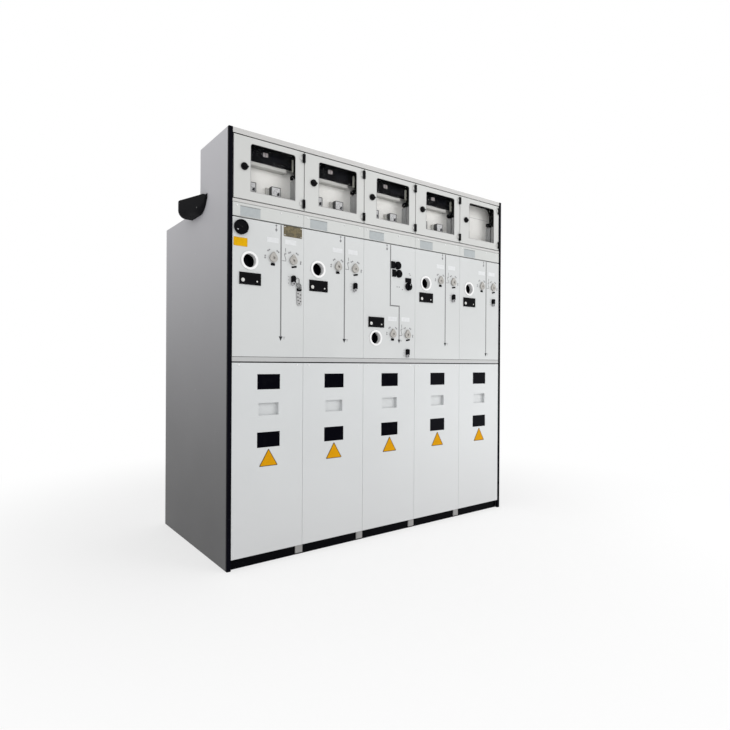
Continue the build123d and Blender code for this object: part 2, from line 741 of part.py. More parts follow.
# Instrument doors: folded pans with a window opening, hinge leaves and a lock hole
# The outer front corner of each knuckle is rounded to turn past the bracket's stem
middle_knuckle = hinge_height - 2 * knuckle_height - 2 * knuckle_gap
for bay in range(bay_count):
    with BuildPart() as door:
        with BuildSketch(facing(front_y)):
            with Locations((door_centres[bay], door_z)):
                Rectangle(door_width, door_height)
        extrude(amount=-door_depth)
        with BuildSketch(facing(front_y + sheet)):
            with Locations((door_centres[bay], door_z)):
                Rectangle(door_width - 2 * sheet, door_height - 2 * sheet)
        extrude(amount=-(door_depth - 2 * sheet), mode=Mode.SUBTRACT)
        with BuildSketch(facing(front_y + sheet)):
            with Locations((door_centres[bay], door_z)):
                Rectangle(door_width - 2 * door_lip, door_height - 2 * door_lip)
        extrude(amount=-door_depth, mode=Mode.SUBTRACT)
        with BuildSketch(facing(front_y)) as openings:
            with Locations((door_window_xs[bay], door_window_z)):
                Rectangle(door_window_width, door_window_height)
            fillet(openings.vertices().group_by(Axis.Y)[-1], door_window_corner)
            with Locations((lock_xs[bay], lock_z)):
                Circle(lock_hole_radius)
        extrude(amount=-sheet, mode=Mode.SUBTRACT)
        for z in hinge_zs:
            with BuildSketch(Plane.XY.offset(z - middle_knuckle / 2)) as knuckle:
                with Locations((hinge_xs[bay], hinge_y)):
                    Rectangle(2 * knuckle_radius, 2 * knuckle_radius)
                outer_corners = knuckle.vertices().group_by(Axis.X)[-1]
                fillet(outer_corners.sort_by(Axis.Y)[0], knuckle_radius)
                leaf_place = (hinge_xs[bay] - hinge_leaf_width / 2, front_y - hinge_leaf_thickness / 2)
                with Locations(leaf_place):
                    Rectangle(hinge_leaf_width, hinge_leaf_thickness)
            extrude(amount=middle_knuckle)
            with BuildSketch(Plane.XY.offset(z - middle_knuckle / 2)):
                with Locations((hinge_xs[bay], hinge_y)):
                    Circle(hinge_pin_radius + hinge_pin_clearance)
            extrude(amount=middle_knuckle, mode=Mode.SUBTRACT)
    name = f"instrument_door_{bay + 1}"
    door.part.label = name
    export_step(door.part, f"parts/{name}.step")

    with BuildPart() as pane:
        with BuildSketch(facing(front_y + sheet)):
            with Locations((door_window_xs[bay], door_window_z)):
                Rectangle(door_window_width + 2 * glass_lap, door_window_height + 2 * glass_lap)
        extrude(amount=-glass_thickness)
    name = f"door_window_{bay + 1}"
    pane.part.label = name
    export_step(pane.part, f"parts/{name}.step")

    # Quarter-turn lock: a slotted head, a square spindle and the cam arm behind the door
    with BuildPart() as lock:
        lock_place = (lock_xs[bay], lock_z)
        with BuildSketch(facing(front_y - lock_face_gap)):
            with Locations(lock_place):
                Circle(lock_radius)
        extrude(amount=lock_proud)
        with BuildSketch(facing(front_y - lock_face_gap - lock_proud)):
            with Locations(lock_place):
                Rectangle(lock_slot_width, lock_slot_length)
        extrude(amount=-lock_slot_depth, mode=Mode.SUBTRACT)
        with BuildSketch(facing(front_y - lock_face_gap)):
            with Locations(lock_place):
                Rectangle(lock_spindle_width, lock_spindle_width)
        extrude(amount=-(lock_face_gap + lock_arm_back + lock_arm_thickness))
        with BuildSketch(facing(front_y + lock_arm_back)) as arm:
            with Locations((lock_xs[bay], lock_z + (lock_arm_length - lock_arm_width) / 2)):
                Rectangle(lock_arm_width, lock_arm_length)
            chamfer(arm.vertices(), lock_arm_chamfer)
        extrude(amount=-lock_arm_thickness)
    name = f"door_lock_{bay + 1}"
    lock.part.label = name
    export_step(lock.part, f"parts/{name}.step")

# Side cap: the black moulding at the corner of the instrument box and the roof
# Its side is rounded below, and in plan it swells from a thin nose to its bulge near the rear
cap_y = front_y + cap_front + cap_length / 2
cap_bottom = body_height - cap_drop
cap_plan_points = [
    (0, cap_front),
    (cap_nose, cap_front),
    (cap_thickness, cap_front + cap_bulge_back),
    (cap_rear_thickness, cap_front + cap_length),
    (0, cap_front + cap_length),
]
with BuildPart() as side_cap:
    with BuildSketch(Plane.YZ.offset(-row_width / 2)) as cap_outline:
        with Locations((cap_y, cap_bottom + cap_height / 2)):
            Rectangle(cap_length, cap_height)
        fillet(cap_outline.vertices().group_by(Axis.Y)[-1], cap_high_radius)
        low_vertices = cap_outline.vertices().group_by(Axis.Y)[0].sort_by(Axis.X)
        fillet(low_vertices[0], cap_front_low_radius)
        low_vertices = cap_outline.vertices().group_by(Axis.Y)[0].sort_by(Axis.X)
        fillet(low_vertices[-1], cap_rear_low_radius)
    extrude(amount=-cap_thickness)
    with BuildSketch(Plane.XY.offset(cap_bottom)) as cap_plan:
        with BuildLine():
            Polyline(*[(-row_width / 2 - out, front_y + back) for out, back in cap_plan_points], close=True)
        make_face()
        fillet(cap_plan.vertices().sort_by(Axis.X)[0], cap_bulge_radius)
    extrude(amount=cap_height, mode=Mode.INTERSECT)
    outer_faces = side_cap.faces().filter_by(lambda face: face.normal_at().X < -0.3)
    outer_rims = [
        edge for edge in side_cap.edges()
        if sum(edge in face.edges() for face in outer_faces) == 1
    ]
    chamfer(outer_rims, cap_edge_chamfer)
side_cap.part.label = "side_cap"
export_step(side_cap.part, "parts/side_cap.step")
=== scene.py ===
import math

import bpy
import numpy as np
from mathutils import Matrix, Vector


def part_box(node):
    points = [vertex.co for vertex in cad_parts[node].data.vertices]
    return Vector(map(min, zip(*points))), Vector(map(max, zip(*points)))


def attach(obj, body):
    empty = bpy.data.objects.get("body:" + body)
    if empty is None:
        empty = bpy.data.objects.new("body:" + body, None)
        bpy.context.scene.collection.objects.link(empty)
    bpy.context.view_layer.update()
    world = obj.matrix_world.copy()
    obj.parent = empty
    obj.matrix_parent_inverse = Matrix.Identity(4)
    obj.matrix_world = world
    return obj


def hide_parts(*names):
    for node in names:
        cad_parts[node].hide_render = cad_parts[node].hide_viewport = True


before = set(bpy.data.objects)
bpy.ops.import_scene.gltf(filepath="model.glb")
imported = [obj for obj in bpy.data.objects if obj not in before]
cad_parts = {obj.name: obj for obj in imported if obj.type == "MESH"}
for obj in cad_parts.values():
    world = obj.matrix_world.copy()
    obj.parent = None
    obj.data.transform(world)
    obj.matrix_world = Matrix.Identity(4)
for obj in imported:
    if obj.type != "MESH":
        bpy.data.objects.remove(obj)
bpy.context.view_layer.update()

# The row as it was packed
# It is in metres from the floor up, with X along the row and the front at low Y
# Outlines, heights of rings and steps between places are given in millimetres
mm = 0.001
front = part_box("switch_panels")[0].y
bay_width = 375 * mm
bay_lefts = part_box("left_end_panel")[1].x + bay_width * np.arange(5)


# Camera
# Stands at the front left, a little under half the row's height, where the photographer stood
# The place, the turn, the tilt and the lens come from the row's corners and edges
def shown(name, data):
    """An object with that camera, lamp or mesh, put in the scene."""
    item = bpy.data.objects.new(name, data)
    bpy.context.scene.collection.objects.link(item)
    return item


camera_place = (-1.9223, -2.7800, 0.9552)
camera_turn = 0.64551
camera_tilt = -0.002632
camera_roll = 0.005834
level = Vector((math.sin(camera_turn), math.cos(camera_turn), 0))
sideways = Vector((math.cos(camera_turn), -math.sin(camera_turn), 0))
upright = Vector((0, 0, 1))
ahead = level * math.cos(camera_tilt) + upright * math.sin(camera_tilt)
above = upright * math.cos(camera_tilt) - level * math.sin(camera_tilt)
camera_right = sideways * math.cos(camera_roll) + above * math.sin(camera_roll)
camera_up = above * math.cos(camera_roll) - sideways * math.sin(camera_roll)
camera_data = bpy.data.cameras.new("camera")
camera_data.lens = 26.386
camera_data.sensor_width = 36
camera = shown("camera", camera_data)
facing_ahead = Matrix((camera_right, camera_up, -ahead)).transposed().to_4x4()
camera.matrix_world = Matrix.Translation(camera_place) @ facing_ahead
bpy.context.scene.camera = camera
bpy.context.scene.view_settings.view_transform = "Standard"


# Studio
# A plain white floor that runs out of sight, under an even white sky
# Two broad soft lamps in front lift the fronts over the sides, and a low one lifts the far end
class Wire:
    """A socket of a finish. Sums on it add Math nodes, and Wire.node adds every other node."""

    def __init__(self, socket):
        self.socket = socket
        self.tree = socket.id_data

    @staticmethod
    def node(tree, kind, values=None, settings=None, output=0):
        """One node, with its settings made first and then its sockets' values or links."""
        made = tree.nodes.new("ShaderNode" + kind)
        for name, value in (settings or {}).items():
            setattr(made, name, value)
        for name, value in (values or {}).items():
            if isinstance(value, Wire):
                tree.links.new(value.socket, made.inputs[name])
            else:
                made.inputs[name].default_value = value
        return Wire(made.outputs[output]) if made.outputs else None

    def maths(self, operation, first, second=0.0):
        """A Math node on two values."""
        return Wire.node(self.tree, "Math", {0: first, 1: second}, {"operation": operation})

    def __add__(self, other):
        return self.maths("ADD", self, other)

    def __radd__(self, other):
        return self.maths("ADD", other, self)

    def __sub__(self, other):
        return self.maths("SUBTRACT", self, other)

    def __mul__(self, other):
        return self.maths("MULTIPLY", self, other)

    def __rmul__(self, other):
        return self.maths("MULTIPLY", other, self)


def rise(value, low, high):
    """A share that goes smoothly from 0 at low to 1 at high."""
    values = {"Value": value, "From Min": low, "From Max": high}
    return Wire.node(value.tree, "MapRange", values, {"interpolation_type": "SMOOTHSTEP"})


def new_finish(name):
    """An empty material, and the place on the piece that its patterns are read at."""
    material = bpy.data.materials.new(name)
    material.use_nodes = True
    material.node_tree.nodes.clear()
    return material, Wire.node(material.node_tree, "TexCoord", output="Object")


def seen_directly(tree):
    """1 for what the camera, a reflection or a pane sees, and 0 for light that falls on things."""
    eye, gloss, pane = [Wire.node(tree, "LightPath", output=f"Is {ray} Ray")
                        for ray in ("Camera", "Glossy", "Transmission")]
    return eye.maths("MAXIMUM", eye.maths("MAXIMUM", eye, gloss), pane)


white = (1, 1, 1, 1)
sky_level = 0.72
floor_colour = (0.96, 0.96, 0.96, 1)
floor_radius = 14.0
floor_white_near = 0.6
floor_white_from = 1.2
floor_white_to = 3.0
world = bpy.data.worlds.new("studio")
bpy.context.scene.world = world
world.use_nodes = True
sky_tree = world.node_tree
sky_tree.nodes.clear()
sky_strength = sky_level + (1 - sky_level) * seen_directly(sky_tree)
sky = Wire.node(sky_tree, "Background", {"Color": white, "Strength": sky_strength})
Wire.node(sky_tree, "OutputWorld", {"Surface": sky})

floor_material, floor_place = new_finish("studio_floor")
floor_tree = floor_material.node_tree
floor_distance = Wire.node(
    floor_tree, "VectorMath", {0: floor_place}, {"operation": "LENGTH"}, output="Value")
floor_paint = Wire.node(floor_tree, "BsdfDiffuse", {"Color": floor_colour})
floor_glow = Wire.node(floor_tree, "Emission", {"Color": white, "Strength": 1.0})
floor_far = rise(floor_distance, floor_white_from, floor_white_to)
floor_white = (floor_white_near + (1 - floor_white_near) * floor_far) * seen_directly(floor_tree)
floor_shader = Wire.node(
    floor_tree, "MixShader", {0: floor_white, 1: floor_paint, 2: floor_glow})
Wire.node(floor_tree, "OutputMaterial", {"Surface": floor_shader})
floor_mesh = bpy.data.meshes.new("studio_floor")
floor_corners = floor_radius * np.array([(-1, -1, 0), (1, -1, 0), (1, 1, 0), (-1, 1, 0)])
floor_mesh.from_pydata(floor_corners.tolist(), [], [(0, 1, 2, 3)])
floor_mesh.materials.append(floor_material)
floor = shown("studio_floor", floor_mesh)

lamp_target = Vector((0, 0, 1.0))
lamps = {
    "lamp_right": ((2.6, -4.6, 3.0), 62, 2.6),
    "lamp_left": ((-3.2, -4.4, 3.4), 40, 2.6),
    "lamp_low": ((2.3, -2.1, 0.5), 9, 1.2),
}
for lamp_name, (lamp_place, lamp_power, lamp_size) in lamps.items():
    lamp_data = bpy.data.lights.new(lamp_name, "AREA")
    lamp_data.energy = lamp_power
    lamp_data.size = lamp_size
    lamp = shown(lamp_name, lamp_data)
    aim = (lamp_target - Vector(lamp_place)).to_track_quat("-Z", "Y").to_matrix().to_4x4()
    lamp.matrix_world = Matrix.Translation(lamp_place) @ aim


# Base trays and foot blocks
# Each cubicle stands on a tray of black enamelled steel sheet, set back under the covers
# Corner feet, enamelled like the fronts but painted darker as painted shade near the floor, fill the strip
# between one bay and the next
def shaded(material, values):
    """Ends a finish with one Principled shader, and gives the material back."""
    shader = Wire.node(material.node_tree, "BsdfPrincipled", values)
    Wire.node(material.node_tree, "OutputMaterial", {"Surface": shader})
    return material


def mixed(share, first, second):
    """Two colours mixed by a share from 0 to 1."""
    first, second = [end if isinstance(end, Wire) else (*end, 1) for end in (first, second)]
    values = {0: share, 6: first, 7: second}
    return Wire.node(share.tree, "Mix", values, {"data_type": "RGBA"}, output=2)


def cloud(place, per_metre, detail=2):
    """Soft noise from 0 to 1 with that many lumps in a metre."""
    values = {"Vector": place, "Scale": per_metre, "Detail": detail}
    return Wire.node(place.tree, "TexNoise", values)


def measured(place, axis="Z"):
    """How far along an axis a place is: on Z, its height above the floor."""
    return Wire.node(place.tree, "SeparateXYZ", {"Vector": place}, output=axis)


def raised(height, distance):
    """A bump of that height map, distance millimetres high where the map is 1."""
    values = {"Height": height, "Distance": distance * mm, "Strength": 1.0}
    return Wire.node(height.tree, "Bump", values)


def powder_coat(name, colour, roughness=0.42, drift=0.03, shine=0.5, painted_shade_colour=None, foot=(0.0, 1.0)):
    """Baked enamel on sheet steel.

    The colour drifts over half a metre, and goes over to painted_shade_colour, a painted shade darkening
    towards the floor, down to the low end of foot.
    The bump is orange peel a few millimetres across.
    """
    material, place = new_finish(name)
    drifting = cloud(place, 2.2, 3)
    paint = mixed(rise(drifting, 0.35, 0.65), np.multiply(colour, 1 - drift), colour)
    # Painted shade: low on the piece the colour goes over to a darker one, towards the floor
    if painted_shade_colour is not None:
        paint = mixed(rise(measured(place), *foot), painted_shade_colour, paint)
    dust = rise(cloud(place, 60, 4), 0.62, 0.78)
    return shaded(material, {
        "Base Color": mixed(dust * 0.05, paint, np.multiply(colour, 0.8)),
        "Specular IOR Level": shine,
        "Roughness": roughness + 0.12 * (drifting - 0.5),
        "Normal": raised(cloud(place, 260, 1), 0.06),
    })


def finish_nodes(material, *names):
    """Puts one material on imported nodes, in place of what they came with."""
    for name in names:
        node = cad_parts[name]
        if not node.material_slots:
            node.data.materials.append(material)
        for slot in node.material_slots:
            slot.material = material


black_enamel = powder_coat("black_enamel", (0.003, 0.003, 0.004), roughness=0.4, drift=0.2, shine=0.02)
finish_nodes(black_enamel, "base_trays")
# Painted shade: the feet are a darker grey than the fronts' enamel, for the shade near the floor
finish_nodes(powder_coat("foot_enamel", (0.305, 0.30, 0.295), roughness=0.5), "foot_blocks")

# Cubicles
# The closed switch housings, folded from sheet steel and painted near-black
# They show only through the gaps between the covers, and their black is painted shade for the dark in those
# gaps
finish_nodes(powder_coat("housing_enamel", (0.01, 0.01, 0.011), roughness=0.6, drift=0.3, shine=0.1),
             "cubicles")

# End panels and their screws
# Folded sheet-steel covers over both ends of the row, enamelled grey, with painted shade that darkens them
# towards the floor
# Pan-head screws with a cross recess hold each one to the cubicle frames
# The end panels' dark foot colour is painted shade that deepens the grey towards the floor
end_enamel = powder_coat("end_enamel", (0.58, 0.575, 0.605), roughness=0.5,
                         painted_shade_colour=(0.08, 0.08, 0.082), foot=(0.15, 2.45))
finish_nodes(end_enamel, "left_end_panel", "right_end_panel")
facings = {
    "front": [(1, 0, 0), (0, 0, 1), (0, -1, 0)],
    "left": [(0, -1, 0), (0, 0, 1), (-1, 0, 0)],
    "right": [(0, 1, 0), (0, 0, 1), (1, 0, 0)],
    "rear": [(-1, 0, 0), (0, 0, 1), (0, 1, 0)],
    "top": [(1, 0, 0), (0, 1, 0), (0, 0, 1)],
}


def ways(angle):
    """The direction of each angle: its cosine across and its sine up."""
    return np.stack([np.cos(angle), np.sin(angle)], axis=-1)


def circle(radius, count=28):
    """Points round a circle: the radius at each angle, anticlockwise."""
    return radius * ways(np.arange(count) / count * 2 * math.pi)


def turned(profile, count):
    """The rings of a turned part: a circle for each radius and height of its profile."""
    return [(circle(radius, count), height) for radius, height in profile]


def cross(reach, half_width, count=24):
    """A plus sign: at each angle, the farther of the two bars' edges."""
    angle = (np.arange(count) + 0.01) / count * 2 * math.pi
    across, up = np.abs(np.cos(angle)), np.abs(np.sin(angle))
    flat = np.minimum(reach / across, half_width / up)
    tall = np.minimum(half_width / across, reach / up)
    return np.maximum(flat, tall)[:, None] * ways(angle)


def skin(rings, count, closed=False):
    """Quads from each ring of count points to the next, and from the last to the first if closed."""
    ring = np.arange(rings if closed else rings - 1)[:, None]
    following = (ring + 1) % rings * count
    ring = ring * count
    here = np.arange(count)
    after = (here + 1) % count
    quads = np.stack([ring + here, ring + after, following + after, following + here], axis=-1)
    return quads.reshape(-1, 4)


def stacked(rings, places, facing="front", turns=0.0, closed=False):
    """Outlines one in front of another, joined by side faces and shut at both ends, or to a ring.

    A point is its place, plus its outline point along the facing's right and up, turned by the
    place's turn, plus its ring's height along the facing's outward direction.
    """
    right, up, out = np.array(facings[facing]) * mm
    flat = np.stack([outline for outline, height in rings])
    height = np.array([height for outline, height in rings], float)
    places = np.atleast_2d(places)
    turns = np.broadcast_to(turns, len(places))
    cos = np.cos(turns)[:, None, None]
    sin = np.sin(turns)[:, None, None]
    across = flat[:, :, 0] * cos - flat[:, :, 1] * sin
    along = flat[:, :, 0] * sin + flat[:, :, 1] * cos
    points = (places[:, None, None] + across[..., None] * right + along[..., None] * up
              + height[:, None, None] * out).reshape(-1, 3)
    ring_count, count = flat.shape[:2]
    first = np.arange(len(places))[:, None] * ring_count * count
    quads = (first[:, None] + skin(ring_count, count, closed)).reshape(-1, 4)
    if closed:
        return points, [quads]
    back = first + np.arange(count)[::-1]
    face = first + (ring_count - 1) * count + np.arange(count)
    return points, [quads, back, face]


def fit(name, material, *shapes, slot="black_plastic", body="cabinet", smooth_angle=35):
    """Joins shapes into one piece, gives it its material and lets it ride on its body."""
    counts = np.cumsum([0] + [len(points) for points, blocks in shapes])
    points = np.concatenate([points for points, blocks in shapes])
    faces = [row for start, (_, blocks) in zip(counts, shapes)
             for block in blocks for row in (block + start).tolist()]
    mesh = bpy.data.meshes.new(name)
    mesh.from_pydata(points.tolist(), [], faces)
    mesh.materials.append(material)
    mesh.shade_smooth()
    mesh.set_sharp_from_angle(angle=math.radians(smooth_angle))
    piece = shown(name, mesh)
    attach(piece, body)
    return piece


def screws(name, metal, places, facing="front", radius=5.5):
    """Pan heads: a skirt, a shoulder that rounds over, and a cross recess sunk in the crown."""
    skirt = radius * np.array([(1, 0), (1, 0.16), (0.92, 0.34), (0.72, 0.46)])
    recess = [(cross(0.52 * radius, 0.13 * radius), 0.5 * radius),
              (cross(0.42 * radius, 0.09 * radius), 0.18 * radius)]
    fit(name, metal, stacked(turned(skirt, 24) + recess, places, facing), slot="pointer_metal")


def plated(name, colour, roughness=0.32, metallic=1.0):
    """Plated or polished metal, with fine clouding and dulled patches."""
    material, place = new_finish(name)
    tarnish = rise(cloud(place, 90, 3), 0.4, 0.7)
    return shaded(material, {
        "Base Color": mixed(tarnish, colour, np.multiply(colour, 0.82)),
        "Metallic": metallic,
        "Roughness": roughness + 0.16 * tarnish,
        "Normal": raised(cloud(place, 1400), 0.02),
    })


zinc_plate = plated("zinc_plate", (0.80, 0.80, 0.82))
side_screw_spots = np.array([
    (57, 1995), (64, 1757), (306, 1577), (431, 1520), (834, 1524), (429, 1166), (851, 1182), (827, 823),
    (424, 816)]) * mm
side_screw_sunk = 2.7 * mm
side_planes = {
    "left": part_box("left_end_panel")[0].x + side_screw_sunk,
    "right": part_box("right_end_panel")[1].x - side_screw_sunk,
}
for side, plane in side_planes.items():
    side_places = np.insert(side_screw_spots + (front, 0), 0, plane, axis=1)
    screws(f"side_screws_{side}", zinc_plate, side_places, side)

# Edge trims
# Black enamelled strips down both front corners, a little proud of the doors
# They are bent from thin steel and fixed over the edges of the end panels
finish_nodes(powder_coat("trim_enamel", (0.003, 0.003, 0.006), roughness=0.36, drift=0.25, shine=0.02),
             "edge_trims")


# Moulded cap on the left end panel
# A thick rounded cap of black moulded plastic where the instrument box meets the roof
# It is one moulding with a soft rolled edge, held by one screw near its lower front
def moulded_plastic(name, colour, roughness=0.5, shine=0.5, grain=0.05):
    """Moulded plastic: a fine spark-eroded grain and a slight sheen that varies."""
    material, place = new_finish(name)
    scuff = rise(cloud(place, 45, 4), 0.55, 0.75)
    return shaded(material, {
        "Base Color": mixed(0.6 * scuff, colour, np.minimum(1, np.multiply(colour, 1.2) + 0.002)),
        "Specular IOR Level": shine,
        "Roughness": roughness + 0.1 * scuff,
        "Normal": raised(cloud(place, 700), grain),
    })


def mitres(outline):
    """Each corner's outward directions before and after it, and the step that moves both by one."""
    side = np.roll(outline, -1, axis=0) - outline
    after = np.stack([side[:, 1], -side[:, 0]], axis=1) / np.linalg.norm(side, axis=1, keepdims=True)
    before = np.roll(after, 1, axis=0)
    return before, after, (before + after) / (1 + np.sum(before * after, axis=1, keepdims=True))


def drawn_in(outline, inset):
    """Every side of an outline moved in by the inset: a corner goes along its mitre."""
    return outline - inset * mitres(outline)[2]


def rounded(corners, radii, count=6):
    """A polygon with rounded corners: at each corner an arc that touches both sides.

    Corners go anticlockwise. The arc's centre lies on the mitre, radius away from both sides.
    """
    corners = np.asarray(corners, float)
    radii = np.broadcast_to(radii, len(corners))[:, None]
    before, after, mitre = mitres(corners)
    centre = corners - radii * mitre
    start = np.arctan2(before[:, 1], before[:, 0])
    sweep = np.mod(np.arctan2(after[:, 1], after[:, 0]) - start + math.pi, 2 * math.pi) - math.pi
    angle = start[:, None] + sweep[:, None] * np.linspace(0, 1, count)
    return (centre[:, None] + radii[:, :, None] * ways(angle)).reshape(-1, 2)


def rectangle(width, height, radius=0.5, count=4):
    """A rectangle about the origin with rounded corners."""
    half, tall = width / 2, height / 2
    return rounded([(-half, -tall), (half, -tall), (half, tall), (-half, tall)], radius, count)


def shift(x, y, z):
    """A step in millimetres, to add to places."""
    return np.array([x, y, z]) * mm


black_plastic = moulded_plastic("black_plastic", (0.004, 0.004, 0.005), roughness=0.45, shine=0.025)
cap_plastic = moulded_plastic("cap_plastic", (0.007, 0.007, 0.008), shine=0.04)
cap_steel = plated("cap_steel", (0.10, 0.10, 0.10), roughness=0.6, metallic=0.0)
cap_low, cap_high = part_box("side_cap")
cap_bulge = (cap_high.x - cap_low.x) / mm
cap_length = (cap_high.y - cap_low.y) / mm
cap_tall = (cap_high.z - cap_low.z) / mm
cap_nose = 10
cap_bulge_at = 0.78
cap_rear_share = 0.70
cap_blend = 28
cap_front_low, cap_rear_low = 92, 62
cap_front_high, cap_rear_high = 28, 16
cap_top_drop = 5
cap_under_rise = 7
cap_under_edge = 40
cap_upper_edge = 7
cap_steps = np.concatenate([
    [0.0, 0.01, 0.03, 0.06, 0.1], np.linspace(0.14, 0.86, 24), [0.9, 0.94, 0.97, 0.99, 1.0]])


def corner_rise(distance, radius):
    """How far a rounded corner has still to go at that distance from the end it starts at."""
    left = np.clip(radius - distance, 0, radius)
    return radius - np.sqrt(radius ** 2 - left ** 2)


def cap_ring(step):
    """The cap's section at a share of its length: a box from the panel out to the bulge, rounded."""
    gone = step * cap_length
    to_go = cap_length - gone
    towards = cap_nose + (cap_bulge - cap_nose) * step / cap_bulge_at
    back = cap_bulge * (1 - (1 - cap_rear_share) * (step - cap_bulge_at) / (1 - cap_bulge_at))
    near = np.clip(0.5 + (back - towards) / cap_blend, 0, 1)
    out = near * towards + (1 - near) * back - cap_blend / 4 * near * (1 - near)
    low = cap_under_rise + max(corner_rise(gone, cap_front_low), corner_rise(to_go, cap_rear_low))
    high = cap_tall - cap_top_drop - max(
        corner_rise(gone, cap_front_high), corner_rise(to_go, cap_rear_high))
    under = min(cap_under_edge, 0.7 * out, 0.55 * (high - low))
    upper = min(cap_upper_edge, 0.25 * out, 0.2 * (high - low))
    return rounded([(0, low), (out, low), (out, high), (0, high)], [0.2, under, upper, 0.2], 9)


cap_rings = [(cap_ring(step), step * cap_length) for step in cap_steps]
cap_rings[-1] = (drawn_in(cap_rings[-1][0], 1.5), cap_length)
cap = fit("cap_moulding", cap_plastic, stacked(cap_rings, (cap_high.x, cap_low.y, cap_low.z), "rear"),
          smooth_angle=50)
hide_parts("side_cap")
cap_screw_place = (cap_high.x, cap_low.y, (cap_low.z + cap_high.z) / 2) + shift(-31, 62, -16)
screws("cap_screw", cap_steel, cap_screw_place, "left", 4)

# Roof covers, rear covers and their screws
# Plain enamelled plates over the busbars and one folded pan a bay down the back
# Each is held by pan-head screws near its corners
finish_nodes(powder_coat("back_enamel", (0.52, 0.52, 0.535), roughness=0.48), "roof_covers", "rear_covers")
roof_low, roof_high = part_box("roof_covers")
rear_low, rear_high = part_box("rear_covers")
back_screw_sunk = 2.8 * mm
roof_margin = 24 * mm
rear_margin = 40 * mm
screw_acrosses = (22, 353)


def bay_grid(acrosses, zs, y):
    """In every bay, each distance from its left with each height, on the upright plane at depth y."""
    xs = (bay_lefts[:, None] + np.multiply(acrosses, mm)).ravel()
    across, up = np.meshgrid(xs, zs, indexing="ij")
    return np.stack([across.ravel(), np.full(across.size, y), up.ravel()], axis=1)


roof_ys = np.linspace(roof_low.y + roof_margin, roof_high.y - roof_margin, 3)
roof_places = bay_grid(screw_acrosses, roof_ys, roof_high.z - back_screw_sunk)[:, [0, 2, 1]]
rear_zs = np.linspace(rear_low.z + rear_margin, rear_high.z - rear_margin, 4)
rear_places = bay_grid(screw_acrosses, rear_zs, rear_high.y - back_screw_sunk)
screws("roof_screws", zinc_plate, roof_places, "top")
screws("rear_screws", zinc_plate, rear_places, "rear")

# Cable covers, their screws and the plates under their windows
# Lift-off pans of light enamelled sheet, each held by two screws in its upper corners
# A plain yellow triangular plate is stuck on under the lower window
# Painted shade: the cover enamel darkens slightly towards the floor
cover_enamel = powder_coat("cover_enamel", (0.615, 0.63, 0.635), roughness=0.4, drift=0.025,
                           painted_shade_colour=(0.60, 0.605, 0.61), foot=(-0.2, 0.75))
painted_zinc = plated("painted_zinc", (0.80, 0.80, 0.80), roughness=0.4, metallic=0.3)
finish_nodes(cover_enamel, "cable_covers")
cover_screw_places = bay_grid((34, 341), [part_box("cable_covers")[1].z - 10 * mm], front)
screws("cover_screws", painted_zinc, cover_screw_places, radius=4.5)


def printed(name, colour, roughness=0.45, wear=0.08, shine=0.1):
    """Printing ink or a thin printed label: even colour with faint clouding."""
    material, place = new_finish(name)
    patch = rise(cloud(place, 70, 4), 0.4, 0.7)
    return shaded(material, {
        "Base Color": mixed(patch, colour, np.multiply(colour, 1 - wear)),
        "Specular IOR Level": shine,
        "Roughness": roughness + 0.08 * patch,
        "Normal": raised(cloud(place, 500), 0.02),
    })


def bay_places(across, height, middle_height=None, lift=0.0):
    """One place in each bay, lift proud of the panels; the middle bay has its own height."""
    zs = np.full(5, float(height))
    zs[middle] = height if middle_height is None else middle_height
    return np.stack([bay_lefts + across * mm, np.full(5, front - lift * mm), zs * mm], axis=1)


def slabs(outline, thickness, places, edge=0.3, base=-0.2, turns=0.0):
    """Flat blocks from base to thickness before their places, with the front edge broken."""
    rings = [(outline, base), (outline, thickness - edge), (drawn_in(outline, edge), thickness)]
    return stacked(rings, places, turns=turns)


middle = 2
olive_print = printed("olive_print", (0.10, 0.065, 0.01))
yellow_print = printed("yellow_print", (0.66, 0.305, 0.003), shine=0.03)
triangle_corners = [(-50, 0), (50, 0), (0, 84)]
triangle_outer = rounded(triangle_corners, 3, 5)
triangle_face = drawn_in(rounded(triangle_corners, 5, 5), 3.5)
triangle_places = bay_places(187.5, 463)
fit("triangle_borders", olive_print, slabs(triangle_outer, 0.9, triangle_places), slot="white_plastic")
fit("triangle_plates", yellow_print, slabs(triangle_face, 0.5, triangle_places + shift(0, -0.9, 0)),
    slot="white_plastic")

# Cable windows
# Thick inspection panes of smoked glazing, seated behind two openings in each cover
# They are nearly black and glossy, with faint streaks of dust
smoked_glass, glass_place = new_finish("smoked_glass")
glass_streaks = rise(cloud(glass_place, 25, 4), 0.5, 0.8)
shaded(smoked_glass, {
    "Base Color": mixed(0.5 * glass_streaks, (0.001, 0.001, 0.003), (0.004, 0.004, 0.006)),
    "Roughness": 0.12 + 0.15 * glass_streaks,
    "Specular IOR Level": 0.02,
})
finish_nodes(smoked_glass, "cable_windows", "sight_glasses")

# Middle rail
# The fixed strip between the switch panels and the cable covers
# It is folded from the same sheet as they are, in a greyer enamel
finish_nodes(powder_coat("rail_enamel", (0.465, 0.47, 0.47)), "middle_rail")

